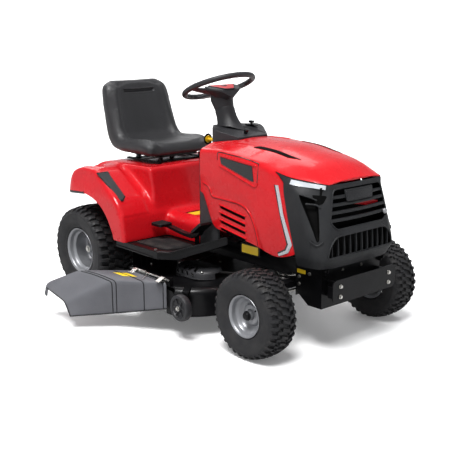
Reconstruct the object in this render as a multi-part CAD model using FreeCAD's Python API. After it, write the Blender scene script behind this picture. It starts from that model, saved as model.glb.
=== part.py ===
"""Side-discharge lawn tractor: hydrostatic drive, tipping hood, twin-blade deck on a lift lever.

Units are millimetres.  +X points forward, +Y to the driver's left, +Z up.  The origin is on the
ground, on the centre line, midway between the two axles.  Every function named make_* returns the
solids of one node.
"""

import FreeCAD
import Part

import math
import os

V = FreeCAD.Vector
X, Y, Z = V(1, 0, 0), V(0, 1, 0), V(0, 0, 1)

# ---------------------------------------------------------------- driving dimensions
WHEELBASE = 1246.0
FRONT_X = WHEELBASE / 2
REAR_X = -WHEELBASE / 2

FRONT_TYRE_R, FRONT_TYRE_W, FRONT_TRACK = 190.5, 150.0, 804.0
REAR_TYRE_R, REAR_TYRE_W, REAR_TRACK = 228.6, 216.0, 729.0
FRONT_RIM_R, REAR_RIM_R = 92.0, 117.0  # rim flange
FRONT_BEAD_R, REAR_BEAD_R = 80.0, 103.0
FRONT_RIM_HALF, REAR_RIM_HALF = 62.0, 90.0  # half width over the rim flanges

RUN = 0.06  # radial running clearance of a shaft in its bore
FIT = 0.4  # gap between faces of parts that move past each other

RAIL_Y, RAIL_Z0, RAIL_Z1, PLATE = 150.0, 300.0, 380.0, 3.0

KINGPIN_Y, KINGPIN_R = 308.0, 9.5
AXLE_PIVOT_Z = 271.0
BOSS_Z0, BOSS_Z1 = 244.0, 300.0
STEER_ARM_Z = 222.0
TIE_ARM = V(-75, 0, 0)
ROD_Z, DRAG_Z, SECTOR_STUD_Z = 212.0, 238.0, 289.0

WHEEL_CENTRE = V(-54, 0, 1075)
COLUMN_TILT = math.radians(21.5)
COLUMN_DOWN = V(math.sin(COLUMN_TILT), 0, -math.cos(COLUMN_TILT))
STEER_R, GRIP_R = 168.5, 13.3
COUPLING_T = 677.0  # distance down the column to the ball coupling
COUPLING = WHEEL_CENTRE + COLUMN_DOWN * COUPLING_T

GEAR_MODULE, PINION_TEETH, SECTOR_TEETH = 3.0, 12, 58
GEAR_CENTRES = GEAR_MODULE * (SECTOR_TEETH - PINION_TEETH) / 2  # the sector has its teeth inside
SECTOR_BEARING = math.radians(-50.3)  # direction from the pinion to the sector's pivot
SECTOR_PIVOT = V(COUPLING.x, 0, 0) + V(math.cos(SECTOR_BEARING), math.sin(SECTOR_BEARING), 0) * GEAR_CENTRES
SECTOR_Z0, SECTOR_Z1 = 300.0, 308.0
DRAG_ARM_LENGTH = 80.0

CRANK_X = 430.0
DRIVE_PULLEY_R, TRANS_PULLEY_R, TRANS_PULLEY_X = 50.0, 62.0, -600.0
DRIVE_BELT_Z = 340.0
PTO_PULLEY_R, DECK_PULLEY_R, DECK_BELT_Z = 55.0, 60.0, 245.0

PTO_Y, PTO_Z = -126.0, 838.0
KEY_Y, KEY_Z = 120.0, 755.0

DECK_Z0, DECK_Z1, DECK_WALL, DECK_R = 95.0, 225.0, 3.0, 282.0
SPINDLE_RIGHT, SPINDLE_LEFT = V(60, -262, 0), V(-80, 262, 0)
BLADE_R, BLADE_W, BLADE_Z = 246.0, 62.0, 116.0
DISCHARGE_Y = -500.0
CHUTE_HINGE = V(0, -508, 257)
GAUGE_R, GAUGE_W, GAUGE_Z = 60.0, 36.0, 157.0
GAUGE_RIGHT, GAUGE_LEFT = V(280, -520, GAUGE_Z), V(140, 520, GAUGE_Z)

LIFT_X, LIFT_Z, LIFT_ARM = -325.0, 270.0, 150.0
LIFT_HALF_TRAVEL = 33.0
LIFT_ARM_ANGLE = math.asin(LIFT_HALF_TRAVEL / LIFT_ARM)
LEVER_Y, LEVER_KNOB = 345.0, V(-550, 352, 737)

FOOT_Z = 345.0
HOOD_PIVOT = V(820, 0, 375)
SEAT_PIVOT = V(-350, 0, 697)
PEDAL_PIVOT = V(40, -244, 395)
BRAKE_PIVOT = V(40, 250, 385)


# ---------------------------------------------------------------- helpers
def box(x0, x1, y0, y1, z0, z1):
    return Part.makeBox(x1 - x0, y1 - y0, z1 - z0, V(x0, y0, z0))


def cyl(at, axis, radius, length):
    return Part.makeCylinder(radius, length, at, axis)


def tube(at, axis, outer, inner, length):
    return cyl(at, axis, outer, length).cut(cyl(at, axis, inner, length))


def fuse(*shapes):
    whole = shapes[0]
    if len(shapes) > 1:
        whole = whole.multiFuse(list(shapes[1:]))
    return whole.removeSplitter()


def cut(whole, *tools):
    for tool in tools:
        whole = whole.cut(tool)
    return whole


def face_of(points):
    return Part.Face(Part.makePolygon(list(points) + [points[0]]))


def prism_xz(points, y0, y1):
    return face_of([V(x, y0, z) for x, z in points]).extrude(V(0, y1 - y0, 0))


def prism_xy(points, z0, z1):
    return face_of([V(x, y, z0) for x, y in points]).extrude(V(0, 0, z1 - z0))


def prism_yz(points, x0, x1):
    return face_of([V(x0, y, z) for y, z in points]).extrude(V(x1 - x0, 0, 0))


def mirrored(shape):
    return shape.mirror(V(0, 0, 0), Y)


def both(shape):
    """The shape and its mirror image across the centre line, as two solids."""
    return [shape, mirrored(shape)]


def turned(shape, at, axis, degrees):
    copy = shape.copy()
    copy.rotate(at, axis, degrees)
    return copy


def rounded(shape, radius, along):
    """Rounds the straight edges of shape that run along a direction."""
    edges = []
    for edge in shape.Edges:
        if edge.Curve.TypeId != "Part::GeomLine":
            continue
        if abs(abs(edge.Curve.Direction.dot(along)) - 1) < 1e-6:
            edges.append(edge)
    return shape.makeFillet(radius, edges)


def revolve_y(profile, centre):
    """A closed polygon of (radius, y) pairs turned about the line along Y through centre."""
    wire = [V(centre.x + r, centre.y + y, centre.z) for r, y in profile]
    return face_of(wire).revolve(centre, Y, 360)


def revolve_z(profile, centre):
    wire = [V(centre.x + r, centre.y, z) for r, z in profile]
    return face_of(wire).revolve(centre, Z, 360)


def hull_outline(circles, grow):
    """The belt line round circles given as (x, y, radius) in anticlockwise order."""
    edges = []
    tangents = []
    for (x0, y0, r0), (x1, y1, r1) in zip(circles, circles[1:] + circles[:1]):
        a, b = r0 + grow, r1 + grow
        span = math.hypot(x1 - x0, y1 - y0)
        heading = math.atan2(y1 - y0, x1 - x0)
        lean = heading - math.pi / 2 + math.asin((a - b) / span)
        unit = V(math.cos(lean), math.sin(lean), 0)
        tangents.append((V(x0, y0, 0) + unit * a, V(x1, y1, 0) + unit * b))
    for i, (x, y, r) in enumerate(circles):
        arrive, leave = tangents[i - 1][1], tangents[i][0]
        start = math.atan2(arrive.y - y, arrive.x - x)
        sweep = (math.atan2(leave.y - y, leave.x - x) - start) % (2 * math.pi)
        middle = start + sweep / 2
        top = V(x, y, 0) + V(math.cos(middle), math.sin(middle), 0) * (r + grow)
        edges.append(Part.Arc(arrive, top, leave).toShape())
        edges.append(Part.makeLine(*tangents[i]))
    return Part.Wire(edges)


def belt(circles, z, width, depth):
    outer = Part.Face(hull_outline(circles, 0)).extrude(Z * width)
    inner = Part.Face(hull_outline(circles, -depth)).extrude(Z * width)
    loop = outer.cut(inner)
    loop.translate(V(0, 0, z - width / 2))
    return loop


def pulley(at, radius, z, height, bore):
    """A flat-grooved pulley: two flanges on a core, with a bore."""
    flange = 3.0
    low = cyl(V(at.x, at.y, z - height / 2), Z, radius + 4, flange)
    high = cyl(V(at.x, at.y, z + height / 2 - flange), Z, radius + 4, flange)
    core = cyl(V(at.x, at.y, z - height / 2), Z, radius - 9, height)
    return fuse(low, high, core).cut(cyl(V(at.x, at.y, z - height), Z, bore, 2 * height))


def gear_teeth(teeth, z0, z1, first, count, above, below, gap):
    """Involute teeth round the Z axis, from below to above the pitch circle; gap widens each by its backlash."""
    pitch = GEAR_MODULE * teeth / 2
    base = pitch * math.cos(math.radians(20))
    tip, root = pitch + above, pitch - below
    half = (math.pi * GEAR_MODULE / 2 + gap) / 2 / pitch
    inv20 = math.tan(math.radians(20)) - math.radians(20)

    def flank(radius):
        if radius <= base:
            return half + inv20
        press = math.acos(base / radius)
        return half + inv20 - (math.tan(press) - press)

    start = max(base, root)
    radii = [start + (tip - start) * i / 4 for i in range(5)]
    solids = []
    for i in range(count):
        mid = first + 2 * math.pi * i / teeth
        sides = [(root - 2, mid - flank(start))]
        sides += [(r, mid - flank(r)) for r in radii]
        sides += [(r, mid + flank(r)) for r in reversed(radii)]
        sides += [(root - 2, mid + flank(start))]
        solids.append(prism_xy([(r * math.cos(a), r * math.sin(a)) for r, a in sides], z0, z1))
    return solids


def fan(radius, middle, half_angle):
    """Outline points of a pie slice about the origin."""
    turns = [middle + half_angle * (i / 12 - 1) for i in range(25)]
    return [(0, 0)] + [(radius * math.cos(a), radius * math.sin(a)) for a in turns]


# ---------------------------------------------------------------- wheels
def tyre(centre, radius, width, bead):
    """A tubeless carcass: round shoulders, a crowned tread and a hollow inside."""
    half, wall = width / 2, 9.0

    def point(r, y):
        return V(centre.x + r, centre.y + y, centre.z)

    def shell(grow):
        h = half - grow
        crown, shoulder = radius - grow, radius - 0.05 * radius - grow
        low = [point(bead, -0.80 * h), point(0.5 * (bead + radius), -h), point(shoulder, -0.86 * h)]
        high = [V(p.x, 2 * centre.y - p.y, p.z) for p in reversed(low)]
        return low, point(crown, 0), high

    def path(grow):
        low, top, high = shell(grow)
        edges = [Part.Arc(low[0], low[1], low[2]).toShape()]
        edges.append(Part.Arc(low[2], top, high[0]).toShape())
        edges.append(Part.Arc(high[0], high[1], high[2]).toShape())
        return edges, low[0], high[2]

    outer, a, b = path(0)
    inner, c, d = path(wall)
    wire = Part.Wire(Part.sortEdges(outer + inner + [Part.makeLine(a, c), Part.makeLine(b, d)])[0])
    return Part.Face(wire).revolve(centre, Y, 360)


def rim(centre, flange, bead, half, disc_y, hub, hub_half, bore, out):
    """A pressed steel rim: flanges, a dropped centre, a dished disc and a hub tube."""
    t = 3.0
    drop = bead - 16
    section = [(flange, -half), (flange, -half + t), (bead - 0.4, -half + t + 1), (bead - 0.4, -half + 22)]
    section += [(drop, -half + 34)]
    section += [(r, -y) for r, y in reversed(section)]
    inner = [(r - t, y) for r, y in section[1:-1]]
    barrel = revolve_y(section + list(reversed(inner)), centre)
    disc = [(drop - 1, disc_y), (drop - 1, disc_y + t), (0.62 * drop, disc_y + t + 14 * out)]
    disc += [(hub, disc_y + t + 14 * out), (hub, disc_y + 14 * out), (0.62 * drop, disc_y + 14 * out)]
    plate = revolve_y(disc, centre)
    sleeve = tube(centre - Y * hub_half, Y, hub + 2, bore, 2 * hub_half)
    return fuse(barrel, plate, sleeve)


def bead_room(centre, flange, half):
    """The space of the two rim flanges, which the tyre leaves free."""
    gap = 0.4
    return [tube(centre + Y * s * (half - 3 - 1 - gap if s > 0 else half + 20), Y, flange + gap, 40, 24 + gap) for s in (1, -1)]


def wheel_centre(front, side):
    if front:
        return V(FRONT_X, side * FRONT_TRACK / 2, FRONT_TYRE_R)
    return V(REAR_X, side * REAR_TRACK / 2, REAR_TYRE_R)


def make_front_tyre(side):
    at = wheel_centre(True, side)
    return [cut(tyre(at, FRONT_TYRE_R, FRONT_TYRE_W, FRONT_BEAD_R), *bead_room(at, FRONT_RIM_R, FRONT_RIM_HALF))]


def make_rear_tyre(side):
    at = wheel_centre(False, side)
    return [cut(tyre(at, REAR_TYRE_R, REAR_TYRE_W, REAR_BEAD_R), *bead_room(at, REAR_RIM_R, REAR_RIM_HALF))]


def make_front_rim(side):
    centre = wheel_centre(True, side)
    body = rim(centre, FRONT_RIM_R, FRONT_BEAD_R, FRONT_RIM_HALF, -2, 17, 43, KINGPIN_R + RUN, side)
    cap = cyl(centre + Y * side * 44, Y * side, 18, 15)
    return [body, cap.makeChamfer(2.5, [cap.Edges[0]])]


def make_rear_rim(side):
    """The rim and the axle shaft that carries it."""
    centre = wheel_centre(False, side)
    body = rim(centre, REAR_RIM_R, REAR_BEAD_R, REAR_RIM_HALF, -18 * side, 20, 40, 11, -side)
    shaft = cyl(V(centre.x, side * 236, centre.z), Y * side, 11 - RUN, REAR_TRACK / 2 - 236 + 52)
    washer = cyl(centre + Y * side * 40, Y * side, 17, 4).cut(cyl(centre, Y * side, 11, 60))
    return [body, shaft, washer]


# ---------------------------------------------------------------- chassis
def make_chassis_frame():
    web = box(-800, 655, RAIL_Y - PLATE, RAIL_Y, RAIL_Z0, RAIL_Z1)
    lip = box(-800, 655, RAIL_Y - 30, RAIL_Y, RAIL_Z1 - PLATE, RAIL_Z1)
    hanger = box(LIFT_X - 26, LIFT_X + 26, RAIL_Y, RAIL_Y + PLATE, LIFT_Z - 20, RAIL_Z0 + 40)
    hanger = hanger.cut(cyl(V(LIFT_X, 0, LIFT_Z), Y, 10 + RUN, 400))
    axle_hole = cyl(V(REAR_X, 0, REAR_TYRE_R), Y, 29, 400)
    bracket = box(REAR_X - 55, REAR_X + 55, RAIL_Y, RAIL_Y + 4, REAR_TYRE_R - 45, RAIL_Z1 - 20).cut(axle_hole)
    rail = fuse(web, lip, hanger, bracket)
    # the axle rises into this notch as it rolls on its pivot
    rail = rail.cut(box(590, 660, RAIL_Y - 40, RAIL_Y + 10, RAIL_Z0 - 10, RAIL_Z0 + 13))
    engine_plate = box(290, 655, -RAIL_Y, RAIL_Y, RAIL_Z1, RAIL_Z1 + 5).cut(cyl(V(CRANK_X, 0, 300), Z, 40, 100))
    middle = box(-140, -80, -RAIL_Y, RAIL_Y, RAIL_Z1, RAIL_Z1 + PLATE)
    column_plate = box(160, 240, -RAIL_Y, RAIL_Y, RAIL_Z1, RAIL_Z1 + 5)
    steering_plate = box(160, 300, 3 - RAIL_Y, RAIL_Y - 3, 314, 320)
    shaft_hole = cyl(V(COUPLING.x, 0, 290), Z, 10 + RUN, 120)
    stud = cyl(V(SECTOR_PIVOT.x, SECTOR_PIVOT.y, 292), Z, 9, 22)
    clip = cyl(V(SECTOR_PIVOT.x, SECTOR_PIVOT.y, 292), Z, 14, 5)
    steering_plate = fuse(steering_plate, stud, clip).cut(shaft_hole)
    rear_cross = box(-803, -800, -190, 190, 250, 400)
    tongue = box(-858, -803, -45, 45, 262, 270)
    hitch = rounded(fuse(rear_cross, tongue), 0.9, V(0, 1, 0))
    hitch = hitch.cut(cyl(V(-833, 0, 250), Z, 8, 40))
    pivot_plate = box(584, 590, -60, 60, 236, RAIL_Z0 + 80).cut(cyl(V(500, 0, AXLE_PIVOT_Z), X, 8, 300))
    return both(rail) + [engine_plate, middle, column_plate.cut(shaft_hole), steering_plate, hitch, pivot_plate]


def make_front_cradle():
    """Folded sheet box ahead of the axle; it carries the axle pivot and the hood hinge."""
    side = box(659, 804, 186, 190, 205, 384)
    corner = prism_xz([(650, 200), (735, 200), (650, 262)], 180, 195)
    side = side.cut(corner)
    front = box(800, 804, -190, 190, 205, 384)
    back = box(655, 659, -190, 190, 236, 380)
    top = box(655, 804, -190, 190, 380, 384).cut(box(690, 770, -110, 110, 370, 390))
    pivot = cyl(V(590, 0, AXLE_PIVOT_Z), X, 8, 78)
    head = cyl(V(659, 0, AXLE_PIVOT_Z), X, 13, 9)
    spacer = cyl(V(590, 0, AXLE_PIVOT_Z), X, 12, 4)
    ear = fuse(box(804, 820, 178, 182, 352, 387), cyl(V(820, 178, 375), Y, 12, 4))
    pin = cyl(V(820, 182, 375), Y, 6, 14)
    arm = box(804, 874, 150, 166, 262, 330)
    arm = arm.cut(box(804, 870, 154, 170, 266, 326))
    parts = [front, back, top, pivot, head, spacer]
    for half in (side, ear, pin, arm):
        parts += both(half)
    return [fuse(*parts)]


def make_front_bumper():
    plate = rounded(box(874, 879, -205, 205, 245, 346), 26, X)
    lip = fuse(box(852, 879, 201, 205, 271, 320))
    return [fuse(plate, *both(lip))]


def make_footboards():
    """Folded running boards with a sloping toe, and the pedal brackets that stand on them."""
    t = 3.0
    top = [(-300, FOOT_Z), (70, FOOT_Z), (272, 428)]
    low = [(272, 428 - t - 1), (71, FOOT_Z - t), (-300, FOOT_Z - t)]
    sheet = prism_xz(top + low, 155, 450)
    corner = prism_xy([(20, 460), (460, 460), (460, 200), (290, 225)], 300, 440)
    skirt = box(-300, 20, 447, 450, FOOT_Z - 34, FOOT_Z)
    slant = prism_xy([(20, 450), (272, 239.5), (272, 236), (20, 446.5)], FOOT_Z - 34, 440)
    above = prism_xz([(-400, FOOT_Z), (70, FOOT_Z), (272, 428), (400, 460), (400, 500), (-400, 500)], 100, 500)
    skirt = fuse(skirt, slant.cut(above).common(prism_xz([(20, 305), (90, 311), (280, 396), (280, 500), (20, 500)], 100, 500)))
    board = fuse(sheet.cut(corner), skirt)
    ear_pedal = ear(PEDAL_PIVOT, -1)
    ear_brake = ear(BRAKE_PIVOT, 1)
    return [fuse(board, ear_brake), fuse(mirrored(board), ear_pedal)]


def ear(pivot, side):
    """A bracket from the board up to a pedal pin, and the pin itself."""
    y0 = side * 222
    y1 = side * 226
    plate = box(pivot.x - 14, pivot.x + 14, min(y0, y1), max(y0, y1), FOOT_Z - 1, pivot.z)
    disc = cyl(V(pivot.x, y0, pivot.z), Y * side, 14, 4)
    pin = cyl(V(pivot.x, y0, pivot.z), Y * side, 6, 54 if side > 0 else 38)
    return fuse(plate, disc, pin)


def make_footboard_mats():
    plan = [(-198, 234), (45, 228), (52, 300), (20, 398), (-198, 409)]
    return both(prism_xy(plan, FOOT_Z, FOOT_Z + 5))


FENDER_TOP = [(-716, 540), (-704, 600), (-664, 644), (-595, 668), (-505, 672), (-440, 650), (-268, 540)]
FENDER_FRONT = [(-222, 462), (-205, 349)]
FENDER_ARCH = [(-292, 349), (-300, 378), (-345, 455), (-410, 512), (-500, 542), (-600, 548), (-700, 532)]


def fender_side(inset):
    """The side view of one mudguard down to the ground, pulled in by a wall thickness."""
    top = [(x + inset, z - inset) for x, z in FENDER_TOP[:4]]
    top += [(x - inset / 2, z - inset) for x, z in FENDER_TOP[4:]]
    front = [(x - inset, z) for x, z in FENDER_FRONT]
    return [(top[0][0], 340)] + top + front + [(front[-1][0], 340)]


def make_rear_fender():
    """One moulding: seat platform, two mudguards and the tunnel between the running boards."""
    wall = 4.0
    guard = prism_xz(fender_side(0), -472, 472).common(rounded(box(-716, 200, -472, 472, 300, 700), 62, Z))
    hollow = prism_xz(fender_side(wall), -468, 468).common(rounded(box(-712, 200, -468, 468, 300, 700), 58, Z))
    deck = [(-762, 340), (-762, 618), (-735, 645), (-680, 666), (-600, 677), (-270, 680), (-232, 470), (-228, 340)]
    lined = [(-758, 330), (-758, 616), (-733, 641), (-679, 662), (-600, 673), (-273, 676), (-236, 470), (-232, 330)]
    platform = prism_xz(deck, -262, 262)
    inside = prism_xz(lined, -258, 258)
    tunnel = prism_yz([(-206, 340), (-204, 440), (-170, 463), (170, 463), (204, 440), (206, 340)], -260, 58)
    bore = prism_yz([(-202, 330), (-200, 438), (-168, 459), (168, 459), (200, 438), (202, 330)], -270, 68)
    shell = fuse(guard, platform, tunnel)
    shell = cut(shell, fuse(hollow, inside, bore))
    below = [(-900, 300), (-900, 522)] + list(reversed(FENDER_ARCH)) + [(-292, 300)]
    for y0, y1 in ((262.5, 480), (-480, -262.5)):
        shell = shell.cut(prism_xz(below, y0, y1))
    shell = shell.cut(box(-900, 100, -600, 600, 300, 349))
    rear_low = prism_xz([(-900, 300), (-900, 430), (-700, 430), (-560, 470), (-320, 400), (-300, 300)], -262.6, 262.6)
    shell = shell.cut(rear_low.cut(box(-900, 0, -205, 205, 300, 500)))
    shell = shell.cut(box(-900, -600, -205, 205, 300, 430))
    slot = box(-575, -318, LEVER_Y - 4, LEVER_Y + 18, 500, 720)
    filler = cyl(V(-620, 385, 600), Z, 34, 140)
    return [max(shell.cut(slot).cut(filler).Solids, key=lambda s: s.Volume)]


def make_fender_inserts():
    """Grey trim strips that follow the front slope of each mudguard."""
    strip = prism_xz([(-440, 650.3), (-271, 542.3), (-269, 545.5), (-438, 653.5)], 380, 460)
    plan = prism_xy([(-440, 392), (-290, 401), (-271, 428), (-271, 438), (-440, 452)], 500, 700)
    return both(strip.common(plan))


def make_dash_tower():
    """The upright panel behind the engine, open at the front, that carries the console."""
    outer = [(-222, 349), (-222, 775), (-150, 812), (150, 812), (222, 775), (222, 349)]
    inner = [(-219, 340), (-219, 773), (-149, 809), (149, 809), (219, 773), (219, 340)]
    shell = prism_yz(outer, 60, 200).cut(prism_yz(inner, 63, 210))
    toe = prism_xz([(60, 300), (60, 349), (75, 349), (210, 412), (300, 412), (300, 300)], -260, 260)
    shell = shell.cut(toe)
    shell = shell.cut(cyl(WHEEL_CENTRE, COLUMN_DOWN, 24, 900))
    shell = shell.cut(cyl(V(50, KEY_Y, KEY_Z), X, 10.5, 20))
    shell = shell.cut(box(50, 70, -153, 153, 340, 462))
    return [shell]


def make_dash_console():
    """A wedge-shaped cowl on top of the tower: pointed rear corners, falling to the front."""
    plan = [(-46, -45), (70, -150), (100, -150), (190, -92), (190, 92), (100, 150), (70, 150), (-46, 45)]
    lined = [(-42, -43), (71, -146), (99, -146), (186, -90), (186, 90), (99, 146), (71, 146), (-42, 43)]
    side = [(-60, 858), (-60, 893), (70, 896), (190, 859), (200, 812.5), (62, 812.5)]
    lower = [(-60, 800), (-60, 889), (70, 892), (186, 856), (200, 800)]
    shell = prism_xz(side, -160, 160).common(prism_xy(plan, 700, 950))
    shell = shell.cut(prism_xz(lower, -160, 160).common(prism_xy(lined, 700, 950)))
    shell = shell.cut(cyl(WHEEL_CENTRE, COLUMN_DOWN, 40, 400))
    shell = shell.cut(cyl(V(0, PTO_Y, PTO_Z), X, 8.5, 80))
    return [shell.cut(box(50, 109, 84, 100, 850, 900))]


def column_cone(t0, r0, t1, r1, wall):
    at = WHEEL_CENTRE + COLUMN_DOWN * t0
    outer = Part.makeCone(r0, r1, t1 - t0, at, COLUMN_DOWN)
    return outer.cut(Part.makeCone(r0 - wall, r1 - wall, t1 - t0, at, COLUMN_DOWN))


def make_column_cover():
    cone = column_cone(120, 46, 240, 72, 3)
    below = prism_xz([(-200, 700), (-200, 890), (-60, 893.2), (70, 896.2), (190, 859), (300, 700)], -200, 200)
    return [cone.cut(below)]


def make_transaxle_case():
    case = rounded(box(-700, -545, -108, 108, 170, 316), 22, Y)
    tubes = cyl(V(REAR_X, -234, REAR_TYRE_R), Y, 28, 468)
    boss = cyl(V(TRANS_PULLEY_X, 0, 310), Z, 26, 16)
    bore = cyl(V(REAR_X, -234, REAR_TYRE_R), Y, 12, 468)
    ribs = [box(-706, -539, y, y + 5, 190, 300) for y in (-70, -25, 20, 65)]
    case = fuse(case, tubes, boss, *ribs)
    case = case.cut(cyl(V(TRANS_PULLEY_X, 0, 300), Z, 9 + RUN, 40))
    return [case.cut(bore)]


def make_engine_block():
    """Vertical-shaft single: sump, crankcase, finned cylinder and head."""
    sump = cyl(V(CRANK_X, 0, 385), Z, 125, 40)
    case = cyl(V(CRANK_X, 0, 425), Z, 112, 100)
    barrel = box(500, 640, -48, 48, 440, 545)
    fins = [box(545 + 14 * i, 549 + 14 * i, -74, 74, 425, 562) for i in range(6)]
    head = box(635, 668, -72, 72, 430, 560)
    foot = box(300, 590, -118, 118, 385, 395)
    block = fuse(sump, case, barrel, head, foot, *fins)
    return [block.cut(cyl(V(CRANK_X, 0, 300), Z, 12.7 + RUN, 190))]


def make_engine_shroud():
    """Blower housing over the flywheel, with its intake screen."""
    drum = cyl(V(CRANK_X, 0, 526), Z, 142, 130)
    nose = box(CRANK_X, 660, -80, 80, 566, 640)
    outer = fuse(drum, nose)
    inner = fuse(cyl(V(CRANK_X, 0, 520), Z, 138, 132), box(CRANK_X, 656, -76, 76, 560, 636))
    lid = tube(V(CRANK_X, 0, 656), Z, 100, 70, 14)
    screen = cyl(V(CRANK_X, 0, 664), Z, 72, 4)
    shell = outer.cut(inner).cut(cyl(V(CRANK_X, 0, 640), Z, 71, 30)).cut(box(495, 700, -75.5, 75.5, 520, 565))
    return [fuse(shell, lid, screen)]


def make_muffler():
    can = rounded(box(560, 690, 105, 195, 430, 560), 22, Z)
    pipe = cyl(V(655, 74, 500), Y, 14, 34)
    outlet = cyl(V(640, 150, 386), Z, 15, 50)
    return [fuse(can, pipe, outlet)]


def make_fuel_tank():
    tank = rounded(box(-652, -520, 290, 446, 562, 622), 16, Y)
    neck = cyl(V(-620, 385, 616), Z, 24, 58)
    cap = cyl(V(-620, 385, 674), Z, 40, 20)
    return [fuse(tank, neck), cap]


def make_drive_belt():
    circles = [(CRANK_X, 0, DRIVE_PULLEY_R), (TRANS_PULLEY_X, 0, TRANS_PULLEY_R)]
    return [belt(circles, DRIVE_BELT_Z, 10, 7)]


def hex_bolt(at, axis, size, head):
    """A bolt head with its washer face, standing on a surface at a point."""
    washer = cyl(at, axis, size, 1.5)
    corners = [V(size * 0.85 * math.cos(math.pi * i / 3), size * 0.85 * math.sin(math.pi * i / 3), 0) for i in range(6)]
    top = face_of(corners).extrude(Z * head)
    top.Placement = FreeCAD.Placement(at + axis * 1.5, FreeCAD.Rotation(Z, axis))
    return fuse(washer, top)


def make_chassis_bolts():
    bolts = []
    for side in (-1, 1):
        for z in (272, 316):
            bolts.append(hex_bolt(V(879, side * 158, z), X, 9, 6))
        for x, z in ((676, 290), (676, 322), (735, 345)):
            bolts.append(hex_bolt(V(x, side * 190, z), Y * side, 8, 5))
        bolts.append(hex_bolt(V(804, side * 60, 355), X, 6, 4))
        bolts.append(hex_bolt(V(-803, side * 150, 372), -X, 8, 5))
        bolts.append(hex_bolt(V(-803, side * 150, 285), -X, 8, 5))
        bolts.append(hex_bolt(V(-20, side * 425, FOOT_Z), Z, 8, 4))
    return bolts


# ---------------------------------------------------------------- hood
# Half sections of the hood: x, then (y, z) at the foot, the belly, the shoulder, the crease and the crown.
HOOD_SECTIONS = [
    (85, [(232, 380), (241, 600), (240, 808), (150, 838), (0, 848)]),
    (220, [(241, 380), (252, 600), (250, 818), (150, 844), (0, 854)]),
    (340, [(246, 380), (258, 600), (252, 808), (150, 841), (0, 853)]),
    (475, [(248, 380), (260, 600), (250, 794), (150, 833), (0, 846)]),
    (560, [(248, 380), (258, 600), (248, 770), (150, 819), (0, 833)]),
    (650, [(247, 380), (255, 600), (234, 753), (148, 804), (0, 818)]),
    (735, [(235, 380), (240, 600), (204, 743), (140, 781), (0, 795)]),
    (810, [(215, 380), (215, 600), (172, 734), (120, 739), (0, 744)]),
]
# Side view of the red shell, from its rear lower corner round to the top of the nose.
HOOD_SIDE = [(80, 615), (108, 605), (130, 560), (178, 458), (450, 431), (600, 396), (700, 431)]
HOOD_SIDE += [(622, 728), (572, 769), (646, 751), (811, 732), (811, 900), (80, 900)]


def hood_loft(inset):
    wires = []
    for x, half in HOOD_SECTIONS:
        pts = [(y - inset if y else 0, z if i == 0 else z - (inset if i > 1 else 0)) for i, (y, z) in enumerate(half)]
        ring = [V(x, -y, z) for y, z in pts] + [V(x, y, z) for y, z in reversed(pts[:-1])]
        wires.append(Part.makePolygon(ring + [ring[0]]))
    return Part.makeLoft(wires, True, True)


def make_hood_shell():
    shell = hood_loft(0).cut(hood_loft(4))
    shell = shell.common(prism_xz(HOOD_SIDE, -300, 300))
    notch = prism_xy([(60, -155), (103, -155), (196, -96), (196, 96), (103, 155), (60, 155)], 780, 900)
    shell = shell.cut(notch)
    for i in range(4):
        z = 562 - 34 * i
        slit = prism_xz([(232, z + 12 - 4), (402, z - 18), (402, z - 29), (232, z - 3)], -300, 300)
        shell = shell.cut(slit.cut(box(0, 900, -225, 225, 300, 900)))
    for side in (-1, 1):
        shell = shell.cut(prism_xy([(358, side * 147), (600, side * 147), (600, side * 133), (358, side * 133)], 780, 900))
    return [max(shell.Solids, key=lambda s: s.Volume)]


# Half plans of the grille moulding: z, then (x, y) along the side, round the corner and to the middle.
NOSE_SECTIONS = [
    (388, [(640, 240), (775, 240), (822, 216), (840, 165), (846, 0)]),
    (433, [(640, 248), (800, 250), (840, 226), (853, 196), (862, 0)]),
    (510, [(620, 253), (796, 254), (832, 216), (849, 188), (858, 0)]),
    (580, [(610, 255), (765, 256), (815, 206), (839, 176), (849, 0)]),
    (640, [(600, 255), (738, 256), (795, 202), (829, 172), (839, 0)]),
    (700, [(590, 252), (708, 252), (768, 197), (818, 164), (829, 0)]),
    (744, [(570, 246), (662, 230), (735, 202), (808, 168), (818, 0)]),
]
NOSE_SIDE = [(705, 386), (900, 386), (900, 732), (811, 730), (646, 749), (576, 766), (627, 728), (705, 431)]


def nose_loft(inset):
    wires = []
    for z, half in NOSE_SECTIONS:
        pts = [(x - (inset if i > 1 else 0), y - inset if y else 0) for i, (x, y) in enumerate(half)]
        ring = [V(x, -y, z) for x, y in pts] + [V(x, y, z) for x, y in reversed(pts[:-1])]
        wires.append(Part.makePolygon(ring + [ring[0]]))
    return Part.makeLoft(wires, True, True)


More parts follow.
